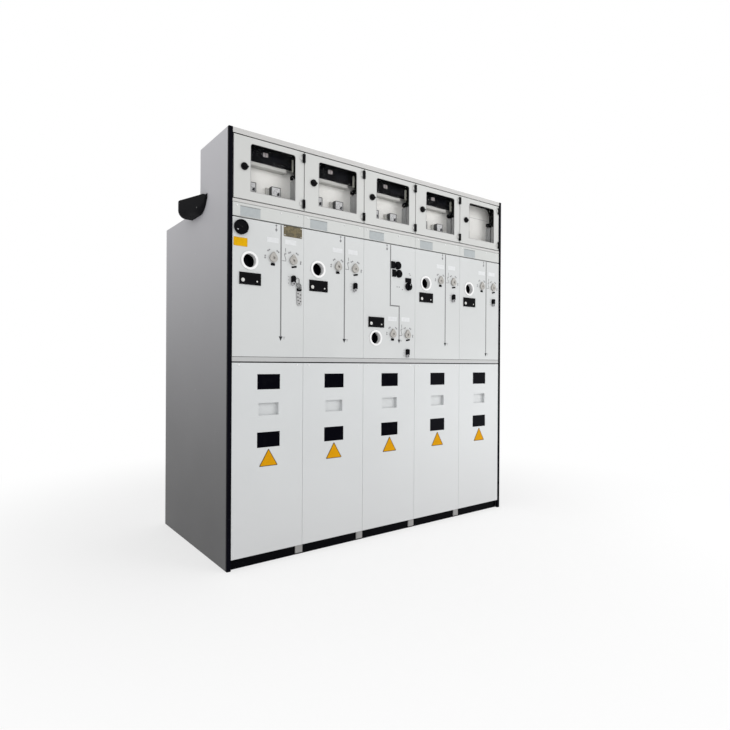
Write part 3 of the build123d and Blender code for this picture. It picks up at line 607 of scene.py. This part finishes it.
# Switch panels with their joint strips and their printed line diagram
# Light enamelled pans that carry the switches' devices, with the circuit silk-screened on
# A line runs down each bay to a dark-footed arrow, for the cable that leaves it below
panel_enamel = powder_coat("panel_enamel", (0.585, 0.598, 0.598))
finish_nodes(panel_enamel, "switch_panels")
panel_low, panel_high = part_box("switch_panels")
joint_strip = rectangle(3, (panel_high.z - panel_low.z) / mm - 8, 0.6)
joint_places = bay_places(0, (panel_low.z + panel_high.z) / 2 / mm, lift=-3)[1:]
fit("panel_joint_strips", panel_enamel, stacked([(joint_strip, 0), (joint_strip, 1.5)], joint_places),
    slot="light_enamel")
grey_print = printed("grey_print", (0.20, 0.20, 0.205))
faint_print = printed("faint_print", (0.27, 0.27, 0.28))
dark_print = printed("dark_print", (0.03, 0.03, 0.035))
ink = 0.35
line_half = 3.4
line_across = 249
line_top = 1624
line_ends = {0: 1066, 1: 1066, 3: 1066, 4: 1009}
arrow_half = 7
arrow_length = 20


def inked(outline, places, turns=0.0, thickness=ink):
    """A printed patch: the outline with a broken edge, as thick as a coat of ink."""
    return slabs(outline, thickness, places, 0.3 * thickness, turns=turns)


def arrowed(end):
    """A straight line that starts at 0, with an arrow head at its foot, as one outline."""
    neck = end + arrow_length
    return np.array([
        (0, end), (arrow_half, neck), (line_half, neck), (line_half, 0),
        (-line_half, 0), (-line_half, neck), (-arrow_half, neck)])


line_places = bay_places(line_across, line_top)
mimic = [inked(arrowed(end - line_top), line_places[bay]) for bay, end in line_ends.items()]
middle_across = 188
jog = 66
jog_drop = 1283 - line_top
middle_foot = 1074
middle_end = middle_foot - line_top
middle_neck = middle_end + arrow_length
middle_outline = np.array([
    (jog, middle_end), (jog + arrow_half, middle_neck), (jog + line_half, middle_neck),
    (jog + line_half, jog_drop + line_half), (line_half, jog_drop + line_half), (line_half, 0),
    (-line_half, 0), (-line_half, jog_drop - line_half), (jog - line_half, jog_drop - line_half),
    (jog - line_half, middle_neck), (jog - arrow_half, middle_neck)])
mimic.append(inked(middle_outline, bay_places(middle_across, line_top)[middle]))
fit("mimic_lines", grey_print, *mimic)
line_feet = bay_places(line_across, line_ends[0], middle_foot)
line_feet[middle, 0] = bay_lefts[middle] + (middle_across + jog) * mm
line_feet[4, 2] = line_ends[4] * mm
foot_arrow = np.array([(0, -3), (10, 18), (-10, 18)])
fit("line_feet", dark_print, inked(foot_arrow, line_feet, thickness=0.5))


# Printed marks beside the diagram
# A voltage tap at the top of each line and an earth sign by its arrow
# They are the common signs of a line diagram, silk-screened in the same ink
def hoop(outer, inner, places, thickness=ink, base=-0.2):
    """A ring: up its outer side, across its face and down its inner side, joined to itself."""
    rings = [(outer, base), (outer, thickness), (inner, thickness), (inner, base)]
    return stacked(rings, places, closed=True)


def bars(width, height, places, turns=0.0):
    """Small printed dashes, the same at each place."""
    return inked(rectangle(width, height, 0.2 * min(width, height), 3), places, turns)


tap_shift = -26
tap_spots = bay_places(line_across + tap_shift, 1606)
tap_spots[middle, 0] = bay_lefts[middle] + (middle_across + tap_shift) * mm
earth_spots = bay_places(267, 1080, 1088)
earth_spots[middle, 0] += 2 * mm
earth_spots[4, 2] = 1023 * mm
fit(
    "diagram_signs", faint_print,
    bars(3, 34, tap_spots),
    bars(9, 6, tap_spots + shift(0, 0, 12)),
    hoop(circle(6, 20), circle(2.5, 20), tap_spots + shift(0, 0, -9)),
    bars(15, 2, earth_spots + shift(0, 0, 2)),
    bars(10, 2, earth_spots + shift(0, 0, -3)),
    bars(5, 2, earth_spots + shift(0, 0, -8)),
)

# Plates on the first switch panel
# A plain yellow plate under the gauge and a plain brass plate, the brass one with small rivets
# Their faces are bare
yellow_border = printed("yellow_border", (0.62, 0.36, 0.03), roughness=0.4)
gold_print = printed("gold_print", (0.72, 0.39, 0.003), shine=0.03)
yellow_centre = bay_places(39.5, 1514.5)[0]
fit("yellow_backing", yellow_border, slabs(rectangle(69, 41, 2.5), 0.8, yellow_centre), slot="white_plastic")
fit("yellow_plate", gold_print, slabs(rectangle(63, 35, 2), 0.4, yellow_centre + shift(0, -0.8, 0)),
    slot="white_plastic")
brass_material, brass_place = new_finish("brass_plate")
brass_patch = rise(cloud(brass_place, 75, 5), 0.38, 0.62)
brass_fleck = rise(cloud(brass_place, 300), 0.5, 0.75)
brass_shade = mixed(brass_patch, (0.05, 0.04, 0.018), (0.14, 0.112, 0.055))
shaded(brass_material, {
    "Base Color": mixed(0.4 * brass_fleck, brass_shade, (0.32, 0.28, 0.18)),
    "Metallic": 0.35,
    "Roughness": 0.42 + 0.15 * brass_patch,
    "Normal": raised(brass_fleck, 0.04),
})
brass_centre = bay_places(314, 1600)[0]
brass_outer = rectangle(102, 53, 3)
brass_rings = [(drawn_in(brass_outer, inset), height)
               for inset, height in ((0, -0.2), (0, 1.0), (0.4, 1.4), (3.0, 1.4), (3.4, 1.0))]
fit("brass_plate", brass_material, stacked(brass_rings, brass_centre), slot="pointer_metal")
rivet_places = brass_centre + np.array([(x, -0.9, z) for z in (-20.5, 20.5) for x in (-45, 45)]) * mm
rivet_profile = [(2.4, 0.0), (2.2, 0.7), (1.3, 1.3)]
fit("brass_rivets", zinc_plate, stacked(turned(rivet_profile, 16), rivet_places), slot="pointer_metal")

# Pointers, their scales and their stops
# Cast teardrop pointers in bare satin metal, each with a hexagonal socket for the crank
# A ring of printed ticks shows their travel, with a white label above and a black stop below
pointer_metal = plated("pointer_metal", (0.43, 0.415, 0.39), roughness=0.62, metallic=0.0)
for bay in range(1, 6):
    finish_nodes(pointer_metal, f"earth_pointer_{bay}", f"load_pointer_{bay}")
earth_places = bay_places(207, 1459, 1122)
load_places = bay_places(316, 1459, 1122)
scale_radius = 43
earth_angles = np.radians([48, 60, 118, 130, 170, 183])
load_angles = np.radians([-14, -2, 52, 64, 112, 124])


def round_spots(places, radius, angles):
    """Places on an upright circle round each place, the radius along each angle, and their turns."""
    rim = radius * mm * np.stack([np.cos(angles), np.zeros(len(angles)), np.sin(angles)], axis=1)
    spots = (np.atleast_2d(places)[:, None] + rim).reshape(-1, 3)
    return spots, np.tile(angles, len(spots) // len(angles))


fit("pointer_scales", faint_print, *[
    bars(width, height, *round_spots(places, scale_radius, angles))
    for places, angles in ((earth_places, earth_angles), (load_places, load_angles))
    for width, height in ((4, 9), (10, 2.6))])
switch_spots = (load_places + earth_places) / 2 + shift(12, 0, 0)
fit(
    "switch_signs", grey_print,
    bars(3, 18, switch_spots + shift(0, 0, 48)),
    bars(3, 26, switch_spots + shift(-3, 0, 16), math.radians(16)),
    hoop(circle(4.5, 16), circle(2.2, 16), switch_spots + shift(0, 0, 30)),
    bars(22, 2.6, switch_spots + shift(-8, 0, -6)),
    bars(3, 10, switch_spots + shift(2, 0, 0)),
)
white_label = printed("white_label", (0.71, 0.72, 0.73), wear=0.06)
label_spots = np.concatenate([earth_places + shift(-3, 0, 86), load_places + shift(-14, 0, 88)])
fit("pointer_labels", white_label, inked(rectangle(62, 24, 1.5), label_spots), slot="white_plastic")
stop_height = 3.2
stop_edge = 0.8
earth_stop = rounded([(-12, -6), (12, -6), (9, 6.5), (-9, 6.5)], 2.5)
load_stop = rectangle(28, 8.5, 2.6)
fit(
    "pointer_stops", black_plastic,
    slabs(earth_stop, stop_height, earth_places + shift(-2, 0, -30), stop_edge, 0),
    slabs(load_stop, stop_height, load_places + shift(5, 0, -30), stop_edge, 0, math.radians(12)),
)

# Sight rings
# White moulded sleeves with a flange, pressed into the panels to look at the switch contacts
# A black liner runs down inside each sleeve to the smoked pane that closes its back
white_plastic = moulded_plastic("white_plastic", (0.82, 0.82, 0.82), roughness=0.35, grain=0.01)
finish_nodes(white_plastic, "sight_rings")
liner_places = bay_places(85, 1433, 1097, -37)
fit("sight_liners", black_plastic, hoop(circle(32.2, 48), circle(28, 48), liner_places, 15, 0))

# Live-line indicators
# Black modules with a bevelled rim, a domed white lens and a small test lamp
# The lens is a pressed moulding that snaps into its bezel
finish_nodes(black_plastic, "live_indicators")
indicator_face = (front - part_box("live_indicators")[0].y) / mm
indicator_places = bay_places(88, 1348, 1184, indicator_face)
lens_shade, lens_place = new_finish("lens_white")
lens_cloud = cloud(lens_place, 120)
shaded(lens_shade, {
    "Base Color": mixed(lens_cloud, (0.50, 0.50, 0.48), (0.70, 0.70, 0.68)),
    "Roughness": 0.16 + 0.1 * lens_cloud,
    "Normal": raised(cloud(lens_place, 900), 0.03),
})
lens_radius = 9
lens_dome = 2.9
dome_angles = np.linspace(0, 0.46 * math.pi, 7)
lens_profile = [(lens_radius, -0.2)] + [
    (max(lens_radius * math.cos(angle), 0.5), lens_dome * math.sin(angle)) for angle in dome_angles]
lens_places = indicator_places + shift(-38, 0, -8)
lenses = fit("lens_domes", lens_shade, stacked(turned(lens_profile, 28), lens_places),
             slot="white_plastic", smooth_angle=60)
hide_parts("indicator_lenses")
lamp_profile = [(4, -0.2), (4, 1.0), (3.2, 1.6), (2.6, 1.5), (1.2, 2.2)]
lamp_places = indicator_places + shift(33, 0, -11)
fit("test_lamps", lens_shade, stacked(turned(lamp_profile, 20), lamp_places), slot="white_plastic")
seam_plastic = moulded_plastic("seam_plastic", (0.012, 0.012, 0.013), roughness=0.6, shine=0.05)
seam = rectangle(96, 44, 2)
fit("indicator_seams", seam_plastic, hoop(seam, drawn_in(seam, 1.2), indicator_places, 0.4))

# Key locks
# Black lock bodies with a steel ring round a black barrel, and a bright keyway in its face
# In the first bay a key ring of bent wire hangs on a hook, with wire loops and a ribbed grey tag
finish_nodes(black_plastic, "key_locks")
lock_steel = plated("lock_steel", (0.42, 0.42, 0.43), roughness=0.4, metallic=0.3)
lock_face = (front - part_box("key_locks")[0].y) / mm
lock_places = bay_places(315, 1367, 1022)
barrel_places = lock_places + shift(-2, 0, -22)
fit("lock_collars", lock_steel, hoop(circle(8.6), circle(5.2), barrel_places, lock_face + 1),
    slot="pointer_metal")
barrel_profile = [(5.1, 0.0), (5.1, lock_face - 0.6), (4.6, lock_face)]
fit("lock_barrels", black_plastic, stacked(turned(barrel_profile, 28), barrel_places))
keyway = rectangle(1.8, 6, 0.8)
keyway_rings = [(keyway, 0.0), (drawn_in(keyway, 0.2), 0.4)]
fit("lock_keyways", lock_steel, stacked(keyway_rings, barrel_places + shift(0, 0.1 - lock_face, 0)),
    slot="pointer_metal")
lock_marks = [bars(width, height, lock_places + shift(-24, 0, up))
              for width, height, up in ((7, 2, 12), (7, 2, -4), (2, 7, -20))]
fit("lock_marks", grey_print, *lock_marks)


def wire_loop(across, tall, wire, place, turn=0.0, steps=40, sides=10):
    """A closed loop of wire: a circle carried round an ellipse that lies flat on its panel."""
    right, up, out = np.array(facings["front"]) * mm
    round_loop = np.linspace(0, 2 * math.pi, steps, endpoint=False)[:, None, None]
    round_wire = np.linspace(0, 2 * math.pi, sides, endpoint=False)[:, None]
    along = np.cos(turn) * right + np.sin(turn) * up
    above_it = np.cos(turn) * up - np.sin(turn) * right
    centre = across * np.cos(round_loop) * along + tall * np.sin(round_loop) * above_it
    swell = np.cos(round_loop) * along + np.sin(round_loop) * above_it
    points = place + centre + wire * (np.cos(round_wire) * swell + np.sin(round_wire) * out)
    return points.reshape(-1, 3), [skin(steps, sides, closed=True)[:, ::-1]]


key_steel = plated("key_steel", (0.22, 0.22, 0.22), roughness=0.5, metallic=0.3)
key_place = bay_places(339, 1361, lift=4.5)[0]
fit(
    "key_ring", key_steel,
    wire_loop(11, 15, 1.6, key_place),
    wire_loop(5, 7, 0.9, key_place + shift(8, -1, -14), turn=0.5),
    wire_loop(12, 9, 2.4, key_place + shift(8, 0, -22)),
    wire_loop(10, 7, 2.2, key_place + shift(11, -1, -33), turn=0.3),
    slabs(rectangle(18, 4, 1.5), 4.6, bay_places(327, 1371)[0], 0.6, 1),
    slot="pointer_metal",
)
tag_plastic = moulded_plastic("tag_plastic", (0.42, 0.42, 0.42))
tag_place = bay_places(348, 1280, lift=2)[0]
tag_outline = rounded([(-10, -40), (15, -40), (16, 30), (-14, 30)], [8, 8, 4, 4])
fit("key_tag", tag_plastic, slabs(tag_outline, 3, tag_place, 0.8, 0), slot="meter_plastic")
tag_band = rounded([(-10, -6.5), (14, -6.5), (14, 6.5), (-12, 6.5)], 2.5, 5)
fit("key_tag_band", black_plastic, slabs(tag_band, 6.5, tag_place + shift(-1, 1, 39), 1, 0))
rib_plastic = moulded_plastic("rib_plastic", (0.09, 0.09, 0.09))
rib_shifts = np.array([
    (-6, -3, 19), (8, -3, 14), (-7, -3, 2), (6, -3, -3), (-5, -3, -14), (8, -3, -19), (0, -3, -30)]) * mm
fit("key_tag_ribs", rib_plastic, slabs(rectangle(8, 6.5, 2.2), 1.3, tag_place + rib_shifts, 0.5, 0))

# Pressure gauge
# A black dial gauge with a knurled bezel, and a ring of plain ticks and a needle on its dial
# A small bright adjusting screw sits low on its left
finish_nodes(black_plastic, "pressure_gauge")
gauge_low, gauge_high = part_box("pressure_gauge")
gauge_middle = (gauge_low + gauge_high) / 2
gauge_radius = (gauge_high.x - gauge_low.x) / 2 / mm
dial_place = np.array([gauge_middle.x, gauge_low.y + 4 * mm, gauge_middle.z])
dial_ink = printed("dial_ink", (0.014, 0.014, 0.014), roughness=0.6)
dial_radius = 25
dial_angles = np.radians(np.linspace(225, -45, 28))
fit(
    "dial_marks", dial_ink,
    bars(2.4, 0.7, *round_spots(dial_place, dial_radius, dial_angles)),
    bars(5.0, 1.1, *round_spots(dial_place, 0.93 * dial_radius, dial_angles[::9])),
)
needle = rounded([(-1.6, -6), (1.6, -6), (0.5, 21), (-0.5, 21)], 0.3, 3)
hub_profile = [(3, 0), (3, 1.6), (2.2, 2.2)]
fit("dial_needle", dial_ink,
    stacked([(needle, 0.8), (needle, 1.3)], dial_place, turns=math.radians(62)),
    stacked(turned(hub_profile, 20), dial_place))
knurl_angles = np.linspace(0, 2 * math.pi, 36, endpoint=False)
knurl_centre = (gauge_middle.x, front - 12 * mm, gauge_middle.z)
knurl_places, knurl_turns = round_spots(knurl_centre, gauge_radius - 1.2, knurl_angles)
knurl = rectangle(2.2, 2.6, 0.7, 3)
knurl_rings = [(knurl, -9), (knurl, 0.4), (drawn_in(knurl, 0.5), 1.1)]
fit("gauge_knurls", black_plastic, stacked(knurl_rings, knurl_places, turns=knurl_turns))
screws("gauge_screw", zinc_plate, dial_place + shift(-20, 0, -14), radius=2.6)

# Controls of the middle bay
# Two black push buttons beside their square legends, and a black selector under its legend
# The legends are bare, with a thin raised frame
finish_nodes(black_plastic, "control_bezels", "open_button", "close_button", "selector_knob")
legend_frames = []
for across, height, width, tall in ((205, 1513, 24, 40), (213, 1467, 24, 40), (320, 1436, 42, 26)):
    legend_edge = rectangle(width - 2, tall - 2, 1)
    legend_place = bay_places(across, height, lift=5)[middle]
    legend_frames.append(hoop(legend_edge, drawn_in(legend_edge, 1.2), legend_place, 0.5))
fit("legend_frames", black_plastic, *legend_frames)
button_profile = [(13, -0.2), (13, 0.6), (11.5, 1.2), (9.5, 0.9), (5, 0.5)]
for button, across, height in (("open_button", 240, 1513), ("close_button", 248, 1467)):
    button_place = (bay_lefts[middle] + across * mm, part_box(button)[0].y, height * mm)
    fit(f"{button}_cap", black_plastic, stacked(turned(button_profile, 32), button_place), body=button)
selector_place = (bay_lefts[middle] + 320 * mm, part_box("selector_knob")[0].y, 1410 * mm)
selector_mark = rectangle(1.8, 10, 0.6)
fit("selector_mark", white_label,
    stacked([(selector_mark, -0.2), (selector_mark, 0.3)], selector_place),
    slot="white_plastic", body="selector")
control_spots = np.concatenate([
    bay_places(across, height)[middle:middle + 1]
    for across, height in ((238, 1392), (254, 1392), (278, 1380), (330, 1476), (336, 1468))])
fit("control_marks", faint_print, bars(9, 5, control_spots))

# Busbar covers, their screws and their labels
# The narrow light pans under the instrument box, each held by three painted screws
# A bluish-grey label strip is stuck on the left half, under a thin printed line
finish_nodes(powder_coat("busbar_enamel", (0.558, 0.57, 0.557)), "busbar_covers")
busbar_screws = bay_grid((22, 248, 345), [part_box("busbar_covers")[1].z - 12 * mm], front)
screws("busbar_screws", painted_zinc, busbar_screws, radius=4.5)
label_blue = printed("label_blue", (0.42, 0.45, 0.46), roughness=0.4, wear=0.05)
label_width = 101
label_places = bay_places(88.5, 1657)
fit("bay_labels", label_blue, slabs(rectangle(label_width, 44, 1.5), 0.7, label_places),
    slot="white_plastic")
fit("bay_label_lines", grey_print, bars(label_width, 2.4, label_places + shift(0, -0.5, 23.4)))

# Instrument box with its dividers and mounting plates
# One folded light sheet makes its floor, back and roof, with the sill and the fascia
# The dividers and their door posts are painted near-black as painted shade inside the cells, and a light
# plate in each cell carries the instruments
# On each plate are a black sheet along its top and right edges, painted shade where the cell's unlit inside
# shows, a seam line, a wiring duct and the clamp of the wire loom
plate_enamel = powder_coat("plate_enamel", (0.88, 0.87, 0.84), roughness=0.5)
# Painted shade: the dividers' near-black stands in for the shade inside the cells
divider_shade_enamel = powder_coat("divider_shade_enamel", (0.02, 0.02, 0.02), roughness=0.5, shine=0.1)
finish_nodes(powder_coat("box_enamel", (0.54, 0.535, 0.525)), "box_shell")
finish_nodes(divider_shade_enamel, "box_dividers")
finish_nodes(plate_enamel, "mounting_plates")
door_lefts = np.array([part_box(f"instrument_door_{door}")[0].x for door in range(1, 6)])
plate_depth = (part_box("mounting_plates")[0].y - front) / mm


def cell_places(across, height, depth=plate_depth, cells=5):
    """One place in each of the first cells, at a depth behind the front."""
    depths = np.full(cells, front + depth * mm)
    return np.stack([door_lefts[:cells] + across * mm, depths, np.full(cells, height * mm)], axis=1)


plate_screw_places = np.concatenate([cell_places(x, z) for x in (14, 352) for z in (1768, 1880)])
screws("plate_screws", zinc_plate, plate_screw_places, radius=4)
# Painted shade: a black sheet on each plate's top and right, where the cell's unlit inside would show
shade_sheet_radius = 40
shade_sheet_curve = (325, 1960) + shade_sheet_radius * ways(np.linspace(0.5 * math.pi, 0, 9))
shade_sheet_outline = np.concatenate([[(2, 2000)], shade_sheet_curve, [(367, 1960), (367, 2024), (2, 2024)]])
fit("cell_shade_sheets", divider_shade_enamel, stacked([(shade_sheet_outline, -0.2), (shade_sheet_outline, 1.0)], cell_places(0, 0)))
fit("plate_seams", faint_print, bars(340, 1.6, cell_places(184, 1921)))
duct_plastic = moulded_plastic("duct_plastic", (0.40, 0.405, 0.41), roughness=0.55)
duct = rectangle(16, 108, 2)
duct_rings = [(duct, 0), (duct, 34), (drawn_in(duct, 1.5), 36)]
fit("wire_ducts", duct_plastic, stacked(duct_rings, cell_places(343, 1817)), slot="meter_plastic")
clamp = rounded([(-10, -9), (10, -9), (10, 9), (-10, 9)], [3, 2, 2, 3], 5)
fit("loom_clamps", black_plastic, slabs(clamp, 42, cell_places(345, 1892), 2, 0))

# Protection relays
# Black moulded housings with a wide front flange, a smoked display, a key pad, labels and lamps
# They are screwed to the mounting plates of the first four cells, with cream terminal blocks beside
relay_low, relay_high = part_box("protection_relays")
relay_cells = 4
relay_depth = (relay_low.y - front) / mm
relay_foot = relay_low.z / mm + 18
relay_top = relay_high.z / mm + 4
# Painted shade: the lowest 18 mm of each housing takes the grey of the mounting plate as it looks in shade,
# so the black shows only above it
housing_material, housing_place = new_finish("relay_housing")
plate_shade_band = rise(measured(housing_place), (relay_foot - 0.6) * mm, relay_foot * mm)
shaded(housing_material, {
    "Base Color": mixed(plate_shade_band, (0.54, 0.535, 0.515), (0.004, 0.004, 0.005)),
    "Specular IOR Level": 0.03,
    "Roughness": 0.45 + 0.1 * cloud(housing_place, 60, 3),
    "Normal": raised(cloud(housing_place, 700), 0.05),
})
finish_nodes(housing_material, "protection_relays")
flange_left, flange_right = 20, 347
flange = rectangle(flange_right - flange_left, relay_top - relay_foot, 4, 5)
flange_rings = [(drawn_in(flange, inset), height)
                for inset, height in ((0, 0), (0, 3), (1.2, 4.2), (5, 4.2), (6, 3.2))]
flange_places = cell_places(
    (flange_left + flange_right) / 2, (relay_foot + relay_top) / 2, relay_depth + 1, relay_cells)
fit("relay_flanges", black_plastic, stacked(flange_rings, flange_places))


def relay_boxes(width, height, thickness, across, up, radius=1.5):
    """Like raised blocks on each relay's face, at the same spot."""
    places = cell_places(across, up, relay_depth - 2.2, relay_cells)
    return slabs(rectangle(width, height, radius), thickness, places, 0.5, -0.3)


fit("relay_displays", smoked_glass, relay_boxes(74, 34, 1.6, 250, 1956, 2.0), slot="dark_glass")
relay_grey = moulded_plastic("relay_grey", (0.012, 0.012, 0.013), shine=0.1)
keys = [relay_boxes(10, 7, 2.0, x, z) for x in (222, 238, 254, 270) for z in (1918, 1930)]
fit("relay_keys", relay_grey, *keys)
relay_label = printed("relay_label", (0.46, 0.42, 0.42), roughness=0.35, wear=0.15)
labels = [relay_boxes(12.5, 20, 1.2, x, 1961, 1.0) for x in (173, 187.5)]
fit("relay_labels", relay_label, *labels, slot="white_plastic")
cream_plastic = moulded_plastic("cream_plastic", (0.60, 0.60, 0.53), roughness=0.4)
terminals = [relay_boxes(16, 11, 5.0, 340, z) for z in (1918, 1940, 1962)]
fit("terminal_blocks", cream_plastic, relay_boxes(9, 62, 6.0, 329, 1940), *terminals, slot="meter_plastic")
relay_lamp = printed("relay_lamp", (0.10, 0.10, 0.10), roughness=0.3)
fit("relay_lamps", relay_lamp, *[relay_boxes(4, 4, 1.6, 136, z, 1.9) for z in (1948, 1958, 1968)])

# Panel meters
# Square moulded meters with a deep dark bezel and a light face behind it
# Each face has an arc scale, a hand and a dark cover over the pivot
finish_nodes(moulded_plastic("meter_case", (0.62, 0.615, 0.59)), "panel_meters")
meter_depth = (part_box("panel_meters")[0].y - front) / mm
bezel_places = np.concatenate([
    cell_places(106, 1794, meter_depth), cell_places(237, 1794, meter_depth, cells=4)])
bezel_outer = rectangle(50, 46, 2)
bezel_inner = rectangle(45, 41, 1.5)
bezel_front = 24
face_height = 22
face_foot = 18
bezel_side = plated("bezel_side", (0.075, 0.078, 0.08), roughness=0.6, metallic=0.0)
fit("meter_bezels", bezel_side, hoop(bezel_outer, bezel_inner, bezel_places, bezel_front, 0),
    stacked([(bezel_inner, -0.2), (bezel_inner, face_foot)], bezel_places))
meter_white = printed("meter_white", (0.64, 0.64, 0.65), roughness=0.4)
fit("meter_faces", meter_white,
    stacked([(bezel_inner, face_foot), (bezel_inner, face_height)], bezel_places),
    slot="meter_plastic")
pivots = bezel_places + shift(9, -face_height, -9)
arc_angles = np.radians(np.linspace(92, 178, 9))
arc_tick = rectangle(3.6, 0.9, 0.3, 3)
hand = rounded([(-0.9, 0), (0.9, 0), (0.3, 20), (-0.3, 20)], 0.2, 3)
pivot_cover = rounded([(-8, -8), (10, -8), (10, 8), (4, 8)], [3, 1, 1, 5])
fit(
    "meter_scales", dark_print,
    inked(arc_tick, *round_spots(pivots, 22, arc_angles), 0.3),
    stacked([(hand, 0.6), (hand, 0.9)], pivots, turns=math.radians(38)),
    slabs(pivot_cover, 1.6, pivots, 0.6, -0.1),
)

# Instrument doors
# Folded light pans hung on solid black hinge blocks, with a lock wing on each left edge
# A clear window is held in a grey gasket, with a frame behind it whose colour is painted shade: black in its
# upper part and grey below
# The hinge leaf lies on the door under its paint, and the knuckle that stands proud is black
black_metal = powder_coat("black_metal", (0.004, 0.004, 0.005), roughness=0.45, drift=0.2, shine=0.04)
finish_nodes(black_metal, "hinge_brackets")
door_enamel = powder_coat("door_enamel", (0.562, 0.568, 0.555))
door_tree = door_enamel.node_tree
door_place = Wire.node(door_tree, "TexCoord", output="Object")
knuckle_cloud = cloud(door_place, 60, 3)
knuckle_paint = Wire.node(door_tree, "BsdfPrincipled", {
    "Base Color": mixed(knuckle_cloud, (0.003, 0.003, 0.004), (0.006, 0.006, 0.007)),
    "Specular IOR Level": 0.04,
    "Roughness": 0.4 + 0.1 * knuckle_cloud,
})
door_output = door_tree.get_output_node("ALL")
door_paint = Wire(door_output.inputs["Surface"].links[0].from_socket)
door_share = rise(measured(door_place, "Y"), front - 3.8 * mm, front - 3.3 * mm)
door_mix = Wire.node(door_tree, "MixShader", {0: door_share, 1: knuckle_paint, 2: door_paint})
door_tree.links.new(door_mix.socket, door_output.inputs["Surface"])
clear_material, clear_place = new_finish("clear_pane")
clear_dust = rise(cloud(clear_place, 14, 4), 0.45, 0.8)
shaded(clear_material, {
    "Base Color": (0.03, 0.035, 0.035, 1),
    "Specular IOR Level": 0.2,
    "Roughness": 0.04 + 0.1 * clear_dust,
    "Alpha": 0.02 + 0.03 * clear_dust,
})
gasket_rubber = moulded_plastic("gasket_rubber", (0.42, 0.42, 0.42), roughness=0.6)
# Painted shade: the frame stands in for the unlit inside of the cell, black above 1865 mm and grey below
frame_material, frame_place = new_finish("window_frame")
frame_shade_share = rise(measured(frame_place), 1862 * mm, 1868 * mm)
shaded(frame_material, {
    "Base Color": mixed(frame_shade_share, (0.36, 0.36, 0.36), (0.004, 0.004, 0.004)),
    "Specular IOR Level": 0.04,
    "Roughness": 0.5 + 0.1 * cloud(frame_place, 80, 3),
})
window_across, window_middle = 202, 1867.5
opening = rounded([(-120, -112.5), (120, -112.5), (120, 112.5), (-120, 112.5)], [1.2, 1.2, 14, 14], 7)
gasket_inner = drawn_in(opening, 1.6)
frame_outer = drawn_in(opening, -3)
wing = rounded([(-9, -6), (15, -4.5), (19, -2.5), (19, 2.5), (15, 4.5), (-9, 6)], [4, 2, 2, 2, 2, 4], 4)
for door, door_left in enumerate(door_lefts, 1):
    door_body = f"door_{door}"
    lock_node = f"door_lock_{door}"
    finish_nodes(door_enamel, f"instrument_door_{door}")
    finish_nodes(clear_material, f"door_window_{door}")
    finish_nodes(black_metal, lock_node)
    window_place = (door_left + window_across * mm, front, window_middle * mm)
    fit(f"window_gasket_{door}", gasket_rubber, hoop(opening, gasket_inner, window_place, 0.9),
        body=door_body)
    fit(f"window_frame_{door}", frame_material, hoop(frame_outer, opening, window_place, -6.2, -22),
        body=door_body)
    knob_place = (door_left + 51 * mm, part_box(lock_node)[0].y, 1865 * mm)
    fit(f"lock_wing_{door}", black_metal, slabs(wing, 5, knob_place, 1),
        slot="black_metal", body=f"lock_{door}")
